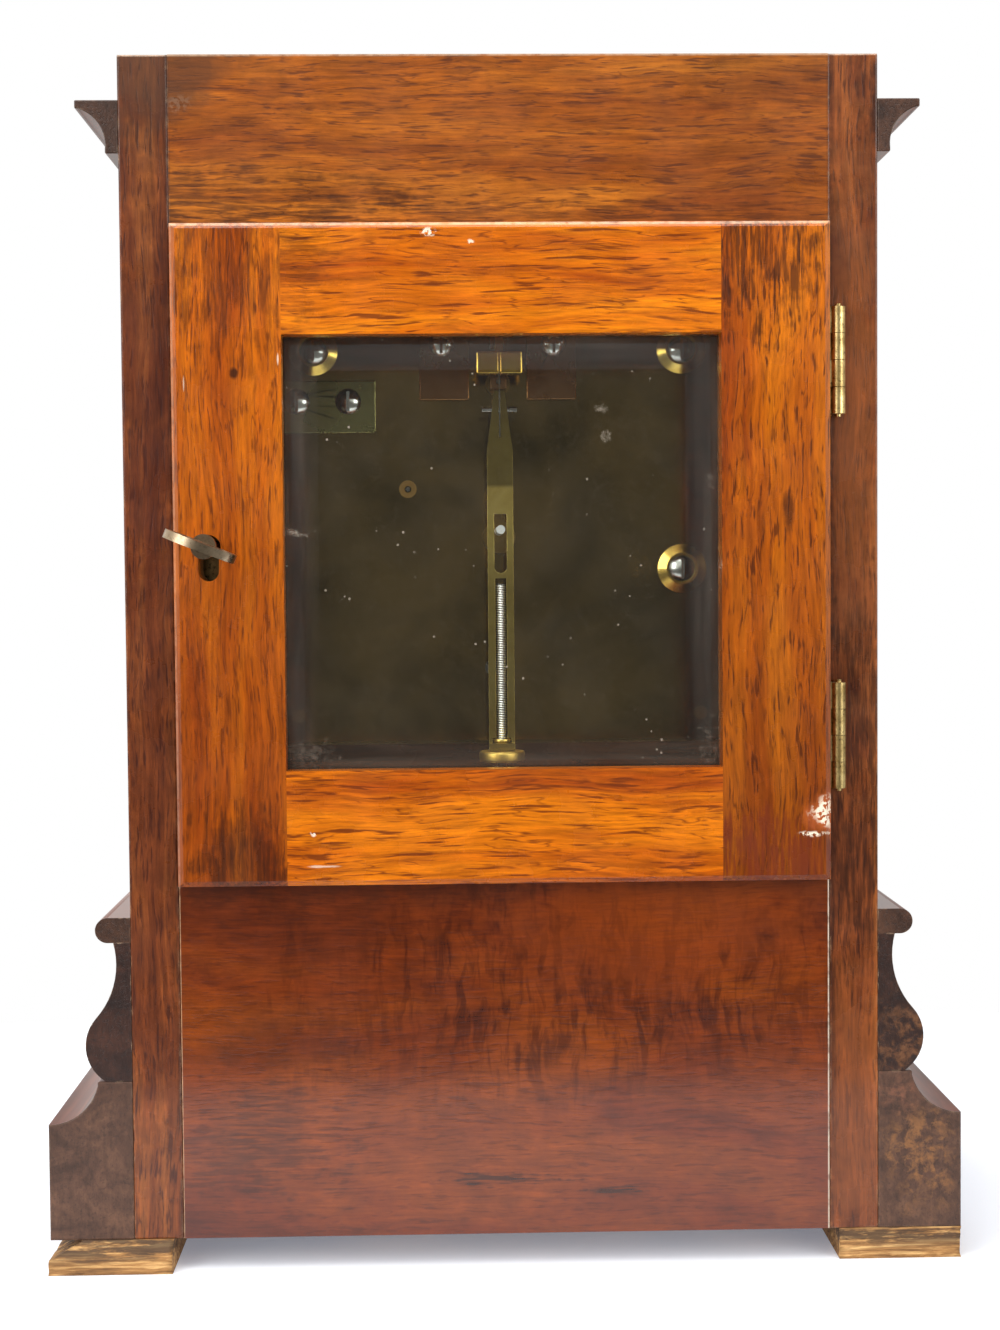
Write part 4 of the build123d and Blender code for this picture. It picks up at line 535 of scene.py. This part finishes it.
# Painted shade on the pendulum's rod, under the cock and darker downwards: the height where it is clear,
# the height where it is darkest, its strength
rod_painted_shade = [(240.6 * MM, 242 * MM, 0.62), (229 * MM, 208 * MM, 0.4)]
pin_tip = (Vector((0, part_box("crutch")[1].y, 227.6 * MM)), 1.4 * MM)
door_bevel = (glass_low, glass_high, 16 * MM)
finishes = {
    "door_lock_stile": wood("lock_stile_mahogany", Z, DOOR, (82, 32, 4), (5, 70), (28, 430), (100, 1100),
                            0.72, marks_and_painted_shadow=lock_marks, joints=lock_highlights, fade=lock_painted_shade),
    "door_hinge_stile": wood("hinge_stile_mahogany", Z, DOOR, (58, 20, 4), (5, 60), (28, 400), (100, 1050),
                             0.75, marks_and_painted_shadow=hinge_marks, joints=[door_top_highlight], fade=hinge_painted_shade),
    "door_top_rail": wood("door_rail_mahogany", X, RAIL, (98, 38, 4), (8, 90), (34, 380), (62, 900), 0.85,
                          marks_and_painted_shadow=door_rail_marks, joints=door_rail_joints_and_highlight, fade=door_rail_painted_shade),
    "back_top_rail": wood("top_rail_mahogany", X, TOP, (70, 30, 10), (7, 60), (40, 480), (90, 1000), 0.7,
                          (0.26, 0.42), 0.3, top_marks, top_joints, wear=0.4, mottle=(0.82, 1.16)),
    "back_lower_panel": wood("panel_mahogany", X, PANEL, (56, 18, 6), (9, 22), (40, 460), (110, 1000), 0.4,
                             (0.16, 0.26), 0.42, panel_marks_and_shadow, panel_joints, ripple=panel_flame, shine=0.45,
                             fibre=(0.74, 1.24), mottle=(0.8, 1.18)),
    "side_panel_left": wood("side_mahogany", Z, SIDE, (42, 16, 10), (6, 90), (30, 520), (95, 1000), 0.72,
                            (0.22, 0.38), 0.25, side_marks, side_joints_and_shade, wear=0.75, fibre=(0.56, 1.42),
                            mottle=(0.74, 1.24)),
    "front_panel": wood("front_mahogany", Z, FRONT, (66, 24, 8), (5, 46), (30, 460), (110, 850), 0.5,
                        (0.2, 0.32), 0.55, wear=0.4, mottle=(0.82, 1.16)),
    "top_board": wood("top_mahogany", X, SIDE, (50, 20, 12), (6, 60), (32, 460), (110, 850), 0.5,
                      (0.5, 0.65), 0.0, wear=0.5, shine=0.1),
    "cornice_moulding": moulding("cornice_mahogany", sawn_y, CORNICE_END, LONG),
    "ogee_moulding": moulding("ogee_mahogany", sawn_y, OGEE_END, LONG, ogee_marks),
    "plinth_moulding": moulding("plinth_mahogany", sawn_y, PLINTH_END, LONG, plinth_marks),
    "floor_board": raw_wood("rough_softwood"),
    "back_plate": metal("plate_brass", (180, 150, 92), (104, 88, 48), (0.08, 0.2), 22, X, sink=oil_sink),
    "suspension_cock": metal("cock_brass", (178, 132, 86), (150, 104, 62), (0.2, 0.3), 40, Z),
    "movement_bracket": metal("bracket_brass", (176, 172, 116), (146, 140, 90), (0.2, 0.32), 40, X),
    "crutch": metal("crutch_brass", (188, 160, 96), (140, 112, 62), (0.22, 0.34), 70, tip=pin_tip),
    "rating_nut": metal("nut_brass", (255, 226, 130), (232, 190, 96), (0.34, 0.46), 120),
    "seat_board": wood("seat_mahogany", X, SEAT, (30, 14, 8)),
    "plate_pillars": metal("turned_brass", (206, 172, 92), (168, 134, 66), (0.16, 0.3)),
    "pillar_collars": metal("bright_brass", (240, 204, 108), (204, 162, 72), (0.16, 0.26)),
    "pendulum_rod": metal("rod_brass", (208, 184, 104), (172, 148, 76), (0.32, 0.42), 60, Z,
                          shade_bands=rod_painted_shade),
    "hinge_pins": metal("hinge_brass", (232, 206, 142), (152, 124, 72), (0.28, 0.42), 160, grime=0.7),
    "door_key": metal("key_metal", (170, 152, 126), (120, 100, 78), (0.24, 0.42), 180, grime=0.4),
    "movement_screws": metal("screw_steel", (230, 230, 226), (190, 190, 186), (0.15, 0.25), 120),
    "pallet_arbor": metal("arbor_steel", (176, 176, 172), (132, 130, 126), (0.18, 0.32), 120),
    "door_glass": pane("door_pane", (0.95, 0.96, 0.94, 1), 0.014, door_bevel, pane_smears),
    "bezel_glass": pane("bezel_pane", (0.97, 0.98, 0.97, 1), 0.008),
    "dial_plate": enamel("dial_enamel"),
    "minute_hand": paint("hand_blue", (16, 20, 46), (30, 34, 66), 0.3),
    "bezel_ring": metal("bezel_brass", (222, 184, 96), (202, 162, 78), (0.12, 0.22), 46, grime=0.12),
}
shared = {
    "door_top_rail": ["door_bottom_rail", "glass_beads"],
    "side_panel_left": ["side_panel_right"],
    "cornice_moulding": ["waist_ledge"],
    "floor_board": ["foot_pads"],
    "back_plate": ["front_plate"],
    "pillar_collars": ["suspension_chops"],
    "plate_pillars": ["pendulum_bob", "escape_wheel", "third_wheel", "center_wheel", "barrel_drum",
                      "minute_wheel", "hour_wheel"],
    "hinge_pins": ["hinge_case_leaves", "hinge_door_leaves", "lock_case", "bezel_hinge"],
    "pallet_arbor": ["lock_bolt", "suspension_spring", "rating_screw", "escape_arbor", "third_arbor",
                     "center_arbor", "barrel_arbor", "ratchet_wheel", "mainspring", "click",
                     "cannon_pinion"],
    "minute_hand": ["hour_hand"],
}
for lead, others in shared.items():
    for name in others:
        finishes[name] = finishes[lead]
for name, finish in finishes.items():
    nodes[name].data.materials.clear()
    nodes[name].data.materials.append(finish)

# Eased edges of the brass and the woodwork, in millimetres
eased = {
    "rating_nut": 0.3, "suspension_cock": 0.35, "movement_bracket": 0.35, "suspension_chops": 0.5,
    "pendulum_rod": 0.15, "back_top_rail": 0.2, "back_lower_panel": 0.4, "side_panel_left": 0.6,
    "side_panel_right": 0.6, "top_board": 0.4, "plinth_moulding": 0.5, "cornice_moulding": 0.4,
    "waist_ledge": 0.5, "ogee_moulding": 0.3,
}
for name, width in eased.items():
    weld = nodes[name].modifiers.new("weld", "WELD")
    weld.merge_threshold = WELD
    ease = nodes[name].modifiers.new("ease", "BEVEL")
    ease.width = width * MM
    ease.segments = 2
    ease.limit_method = "ANGLE"
    ease.angle_limit = radians(40)


# Pieces made here

def piece(name, mesh, finish, body, slot, *replaced):
    """An object of that finished mesh, riding on a body of the clock."""
    bmesh.ops.recalc_face_normals(mesh, faces=mesh.faces)
    data = bpy.data.meshes.new(name)
    mesh.to_mesh(data)
    mesh.free()
    made = bpy.data.objects.new(name, data)
    bpy.context.scene.collection.objects.link(made)
    data.materials.append(finish)
    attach(made, body)
    if replaced:
        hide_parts(*replaced)
    return made


def prism(mesh, outline, normal):
    """A closed slab on a flat outline, raised along a normal."""
    base = [mesh.verts.new(point) for point in outline]
    top = [mesh.verts.new(Vector(point) + Vector(normal)) for point in outline]
    mesh.faces.new(base)
    mesh.faces.new(top)
    for i in range(len(base)):
        j = (i + 1) % len(base)
        mesh.faces.new((base[i], base[j], top[j], top[i]))


def lathe(mesh, profile, centre, axis, around):
    """A closed ring turned about an axis from a profile of radius and height."""
    turn = Vector(axis).to_track_quat("Z", "Y")
    rows = []
    for step in range(around):
        angle = 2 * pi * step / around
        rows.append([mesh.verts.new(Vector(centre) + turn @ Vector((r * cos(angle), r * sin(angle), h)))
                     for r, h in profile])
    for step in range(around):
        here, there = rows[step], rows[(step + 1) % around]
        for i in range(len(profile)):
            j = (i + 1) % len(profile)
            mesh.faces.new((here[i], here[j], there[j], there[i]))


# Rating screw with its real thread, on a plain stem with a fine bore
SCREW_RADIUS, SCREW_CORE, SCREW_PITCH, STEPS = 1.6 * MM, 1.4 * MM, 0.75 * MM, 20
THREAD_LENGTH, STEM_RADIUS, STEM_BORE, STEM_SIDES = 63 * MM, 0.98 * SCREW_CORE, 0.02 * MM, 24
screw_low, screw_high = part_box("rating_screw")
screw_x = (screw_low.x + screw_high.x) / 2
screw_y = (screw_low.y + screw_high.y) / 2
count = int(THREAD_LENGTH / SCREW_PITCH) * STEPS
thread = bmesh.new()
crests, roots = [], []
for step in range(count + 1):
    angle = 2 * pi * step / STEPS
    fade = min(1.0, step / STEPS, (count - step) / STEPS)
    crest = SCREW_CORE + fade * (SCREW_RADIUS - SCREW_CORE)
    height = screw_high.z - SCREW_PITCH * step / STEPS
    crests.append(thread.verts.new((screw_x + crest * cos(angle), screw_y + crest * sin(angle), height)))
    roots.append(thread.verts.new((screw_x + SCREW_CORE * cos(angle), screw_y + SCREW_CORE * sin(angle),
                                   height - SCREW_PITCH / 2)))
for step in range(count):
    thread.faces.new((crests[step], crests[step + 1], roots[step + 1], roots[step]))
    if step + 1 + STEPS <= count:
        thread.faces.new((roots[step], roots[step + 1], crests[step + 1 + STEPS], crests[step + STEPS]))
top_rim = crests[:STEPS + 1] + [roots[0]]
low_rim = roots[count - STEPS:] + [crests[count]]
for rim, height in ((top_rim, screw_high.z), (low_rim, screw_high.z - THREAD_LENGTH - SCREW_PITCH)):
    middle = thread.verts.new((screw_x, screw_y, height))
    for i in range(len(rim)):
        thread.faces.new((rim[i], rim[(i + 1) % len(rim)], middle))
stem_high = screw_high.z - THREAD_LENGTH - 0.4 * SCREW_PITCH - screw_low.z
stem = [(STEM_BORE, 0), (STEM_RADIUS, 0), (STEM_RADIUS, stem_high), (STEM_BORE, stem_high)]
lathe(thread, stem, (screw_x, screw_y, screw_low.z), (0, 0, 1), STEM_SIDES)
thread_steel = metal("thread_steel", (254, 254, 250), (240, 240, 236), (0.3, 0.38), 200,
                     roots=(Vector((screw_x, screw_y, 0)), SCREW_CORE, SCREW_RADIUS - 0.06 * MM))
piece("rating_thread", thread, thread_steel, "bob", "steel", "rating_screw")

# Foot pads with broken, splintered faces that stay whole along the top and bottom rims
LONGEST_EDGE, ROUNDS, WHOLE_RIM = 1.6 * MM, 4, 0.6 * MM
pads = bmesh.new()
pads.from_mesh(nodes["foot_pads"].data)
bmesh.ops.remove_doubles(pads, verts=pads.verts, dist=WELD)
bmesh.ops.dissolve_limit(pads, angle_limit=radians(2), verts=pads.verts, edges=pads.edges)
bmesh.ops.triangulate(pads, faces=pads.faces)
for _ in range(ROUNDS):
    long_edges = [edge for edge in pads.edges if edge.calc_length() > LONGEST_EDGE]
    bmesh.ops.subdivide_edges(pads, edges=long_edges, cuts=1, use_grid_fill=True)
foot_low, foot_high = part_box("foot_pads")
for vert in pads.verts:
    from_rim = min(vert.co.z - foot_low.z, foot_high.z - vert.co.z)
    side = min(1.0, max(0.0, from_rim / WHOLE_RIM))
    split = noise.noise(Vector((vert.co.x * 60, vert.co.y * 60, vert.co.z * 420)))
    chip = noise.noise(vert.co * 260)
    inward = (0.45 * split + 0.3 * chip - 0.35) * MM * side
    vert.co += vert.normal * inward
worn_feet = piece("worn_feet", pads, finishes["floor_board"], "case", "softwood", "foot_pads")
for face in worn_feet.data.polygons:
    face.use_smooth = True

# Dial figures and minute ring
INK = 0.05 * MM
FIGURE_FOOT, FIGURE_HEIGHT = 50 * MM, 13 * MM
FIGURE_TOP = FIGURE_FOOT + FIGURE_HEIGHT
HAIRLINE, SERIF = 0.4 * MM, 0.46
TRACK_INNER, TRACK_OUTER, TRACK_SIDES = 66 * MM, 69 * MM, 120
dial_centre = Vector(((dial_low.x + dial_high.x) / 2, dial_low.y, (dial_low.z + dial_high.z) / 2))
# Each letter's width and its bars, with their left edge at the top, thickness and lean, in millimetres
STROKES = {
    "I": (2.3, [(-0.7, 1.4, 0)]),
    "V": (4.6, [(-2.0, 1.4, 1.7), (1.35, 0.5, -1.25)]),
    "X": (4.6, [(-2.0, 1.4, 2.6), (1.5, 0.5, -2.9)]),
}
HOURS = ("XII", "I", "II", "III", "IIII", "V", "VI", "VII", "VIII", "IX", "X", "XI")


def dial_point(hour_angle, across, outward):
    """A point on the dial at an angle clockwise from twelve, across that radius and outward along it."""
    direction = Vector((sin(hour_angle), 0, cos(hour_angle)))
    sideways = Vector((cos(hour_angle), 0, -sin(hour_angle)))
    return dial_centre + direction * outward + sideways * across


def dial_bar(mesh, hour_angle, foot, top, foot_span, top_span):
    """A bar of ink between two radii, with its left and right edge at each."""
    corners = [(foot_span[0], foot), (foot_span[1], foot), (top_span[1], top), (top_span[0], top)]
    prism(mesh, [dial_point(hour_angle, across, outward) for across, outward in corners], (0, -INK, 0))


figures = bmesh.new()
for hour, numeral in enumerate(HOURS):
    hour_angle = hour * pi / 6
    total = sum(STROKES[letter][0] for letter in numeral) * MM
    pen = -total / 2
    for letter in numeral:
        width, bars = STROKES[letter]
        middle = pen + width * MM / 2
        for left, thick, lean in bars:
            top_left = middle + left * MM
            foot_left = top_left + lean * MM
            dial_bar(figures, hour_angle, FIGURE_FOOT, FIGURE_TOP,
                     (foot_left, foot_left + thick * MM), (top_left, top_left + thick * MM))
        half = width * MM * SERIF
        serif = (middle - half, middle + half)
        for rim in (FIGURE_FOOT - HAIRLINE, FIGURE_TOP):
            dial_bar(figures, hour_angle, rim, rim + HAIRLINE, serif, serif)
        pen += width * MM
for minute in range(60):
    half = (0.5 if minute % 5 == 0 else 0.2) * MM
    dial_bar(figures, minute * pi / 30, TRACK_INNER, TRACK_OUTER, (-half, half), (-half, half))
for inner in (TRACK_INNER - HAIRLINE, TRACK_OUTER):
    outer = inner + HAIRLINE
    ring = [(inner, 0), (outer, 0), (outer, INK), (inner, INK)]
    lathe(figures, ring, dial_centre, (0, -1, 0), TRACK_SIDES)
dial_ink = paint("dial_ink", (18, 16, 14), (34, 30, 26), 0.4)
piece("dial_figures", figures, dial_ink, "case", "hand_steel")


# Wood screws of the hinges and the lock

# Half a slot's width and a head's rise as shares of its radius, and the steps round half a head
SLOT, RISE, HEAD_STEPS = 0.14, 0.12, 8


def screw_head(mesh, centre, facing, along, radius):
    """A slotted head as two halves either side of its slot."""
    facing, along = Vector(facing), Vector(along)
    across = facing.cross(along)
    for hand in (-1, 1):
        outline = []
        for step in range(HEAD_STEPS + 1):
            angle = pi * step / HEAD_STEPS
            reach = max(radius * SLOT, radius * sin(angle))
            outline.append(Vector(centre) + along * radius * cos(angle) + across * hand * reach)
        prism(mesh, outline, facing * radius * RISE)


LEAF_LENGTH, LEAF_INSET, LEAF_HEAD = 32.5 * MM, 5 * MM, 1.9 * MM
CASE_LEAF_X, DOOR_LEAF_X = -100 * MM, -99.3 * MM
LOCK_INSET, LOCK_HEAD = 4 * MM, 1.7 * MM
case_leaf_low, case_leaf_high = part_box("hinge_case_leaves")
door_leaf_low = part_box("hinge_door_leaves")[0]
lock_box_low, lock_box_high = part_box("lock_case")
case_head_y, door_head_y = case_leaf_low.y + LEAF_INSET, door_leaf_low.y + LEAF_INSET
case_heads, door_heads = bmesh.new(), bmesh.new()
for middle in (case_leaf_low.z + LEAF_LENGTH / 2, case_leaf_high.z - LEAF_LENGTH / 2):
    for rise in (-11 * MM, 0, 11 * MM):
        head_z = middle + rise
        screw_head(case_heads, (CASE_LEAF_X, case_head_y, head_z), (1, 0, 0), (0, 0, 1), LEAF_HEAD)
        screw_head(door_heads, (DOOR_LEAF_X, door_head_y, head_z), (-1, 0, 0), (0, 0, 1), LEAF_HEAD)
for head_z in (lock_box_low.z + LOCK_INSET, lock_box_high.z - LOCK_INSET):
    for head_x in (lock_box_low.x + LOCK_INSET, lock_box_high.x - LOCK_INSET):
        screw_head(door_heads, (head_x, lock_box_low.y, head_z), (0, -1, 0), (1, 0, 0), LOCK_HEAD)
piece("hinge_screws_case", case_heads, finishes["hinge_pins"], "case", "brass")
piece("screws_door", door_heads, finishes["hinge_pins"], "door", "brass")

# Floor, an oval sheet of paper that thins out to nothing at its rim
FLOOR_X, FLOOR_Y, FLOOR_SPARE = 0.62, 0.30, 1.1
floor_mesh = bmesh.new()
bmesh.ops.create_circle(floor_mesh, cap_ends=True, segments=128, radius=1.0)
floor_size = (FLOOR_X * FLOOR_SPARE, FLOOR_Y * FLOOR_SPARE, 1.0)
bmesh.ops.scale(floor_mesh, vec=floor_size, verts=floor_mesh.verts)
floor_data = bpy.data.meshes.new("floor")
floor_mesh.to_mesh(floor_data)
floor_mesh.free()
floor = bpy.data.objects.new("floor", floor_data)
bpy.context.scene.collection.objects.link(floor)
paper = Finish("floor_paper")
weave = paper.spread(paper.noise(paper.even(900), 2), 0.3, 0.7, 0.84, 0.9)
sheet = paper.make("ShaderNodeBsdfDiffuse", {0: paper.mix(1.0, (0.98, 0.99, 1, 1), weave, "MULTIPLY")})
beyond = paper.make("ShaderNodeBsdfTransparent")
out = paper.length(paper.vector("DIVIDE", paper.place, (FLOOR_X, FLOOR_Y, 1)))
lift = paper.make("ShaderNodeEmission", {0: (0.5, 0.56, 0.7, 1), 1: 0.3})
lit = paper.make("ShaderNodeAddShader", {0: sheet.outputs[0], 1: lift.outputs[0]})
thin = paper.spread(out, 0.92, 1.06)
ground = paper.make("ShaderNodeMixShader", {0: thin, 1: lit.outputs[0], 2: beyond.outputs[0]})
floor_data.materials.append(paper.show(ground))

# World: white to the camera, an even pale light on everything, and in reflections a room that is dark
# behind the camera and paler to the sides, above and on the dial's side
DARK_SIDE, PALE_SIDE = cos(radians(12.5)), cos(radians(27))
DARK_ABOVE, PALE_ABOVE = sin(radians(11)), sin(radians(26))
ROOM_GLOW = 0.13
world = bpy.data.worlds.new("studio")
bpy.context.scene.world = world
world.use_nodes = True
sky = Net(world.node_tree)
look = sky.make("ShaderNodeSeparateXYZ", {0: sky.make("ShaderNodeTexCoord").outputs["Generated"]})
aside = sky.spread(look.outputs[Y], DARK_SIDE, PALE_SIDE)
overhead = sky.spread(look.outputs[Z], DARK_ABOVE, PALE_ABOVE)
sideways = sky.spread(look.outputs[X], -0.5, 0.5, 0.75, 1.2)
raised = sky.spread(look.outputs[Z], -0.06, 0.06, 0.05, 1.0)
dial_side = sky.spread(look.outputs[Y], 0.1, -0.2, 0.0, 0.8)
raised = sky.math("MAXIMUM", raised, dial_side)
glow = sky.math("MAXIMUM", aside, overhead)
glow = sky.math("MULTIPLY", glow, sideways)
glow = sky.math("MULTIPLY", glow, raised)
glow = sky.math("ADD", glow, ROOM_GLOW)
white = sky.make("ShaderNodeBackground", {"Color": (1, 1, 1, 1), "Strength": 1.0})
room = sky.make("ShaderNodeBackground", {"Color": (0.95, 0.97, 1, 1), "Strength": 0.42})
dim_room = sky.make("ShaderNodeBackground", {"Color": (1, 0.98, 0.95, 1), "Strength": glow})
path = sky.make("ShaderNodeLightPath")
glossy, direct = path.outputs["Is Glossy Ray"], path.outputs["Is Camera Ray"]
shiny = sky.make("ShaderNodeMixShader", {0: glossy, 1: room.outputs[0], 2: dim_room.outputs[0]})
seen = sky.make("ShaderNodeMixShader", {0: direct, 1: shiny.outputs[0], 2: white.outputs[0]})
sky.make("ShaderNodeOutputWorld", {0: seen.outputs[0]})


# Lights

def softbox(name, place, target, size, power):
    """A rectangular soft light aimed at a point, not seen by the camera itself."""
    lamp = bpy.data.lights.new(name, "AREA")
    lamp.shape = "RECTANGLE"
    lamp.size, lamp.size_y = size
    lamp.energy = power
    made = bpy.data.objects.new(name, lamp)
    bpy.context.scene.collection.objects.link(made)
    made.location = place
    made.rotation_euler = (Vector(target) - Vector(place)).to_track_quat("-Z", "Y").to_euler()
    made.visible_camera = False
    return made


AIM, DIAL_AIM = (0, 0.05, 0.17), (0, -0.1, 0.2)
softbox("overhead", (0.1, 0.3, 1.15), AIM, (0.9, 0.9), 11)
softbox("left_of_camera", (0.85, 0.75, 0.55), AIM, (0.5, 0.8), 6.0)
softbox("right_of_camera", (-0.85, 0.8, 0.5), AIM, (0.5, 0.8), 4.5)
softbox("front_fill", (0.2, -1.0, 0.6), DIAL_AIM, (0.8, 0.8), 10).visible_glossy = False
for hand, power in ((1, 1.8), (-1, 1.5)):
    softbox("strip", (hand * 0.50, 0.98, 0.30), AIM, (0.22, 0.8), power).visible_glossy = False

# Camera at the photograph's place, with its focal length in the photograph's pixels
CAMERA_PLACE = (0.01663, 0.68928, 0.21177)
YAW, PITCH, ROLL = radians(-1.42), radians(-2.38), radians(-0.47)
FOCAL, FRAME_HEIGHT, SENSOR = 2050, 1330, 36.0
forward = Vector((sin(YAW) * cos(PITCH), -cos(YAW) * cos(PITCH), sin(PITCH)))
level = Vector((-cos(YAW), -sin(YAW), 0))
upward = level.cross(forward)
right = level * cos(ROLL) + upward * sin(ROLL)
above = upward * cos(ROLL) - level * sin(ROLL)
lens = bpy.data.cameras.new("camera")
lens.sensor_width = SENSOR
lens.lens = FOCAL / FRAME_HEIGHT * SENSOR
lens.clip_start = 0.01
camera = bpy.data.objects.new("camera", lens)
bpy.context.scene.collection.objects.link(camera)
turn = Matrix((right, above, -forward)).transposed().to_4x4()
camera.matrix_world = Matrix.Translation(CAMERA_PLACE) @ turn
bpy.context.scene.camera = camera
bpy.context.scene.view_settings.view_transform = "Standard"
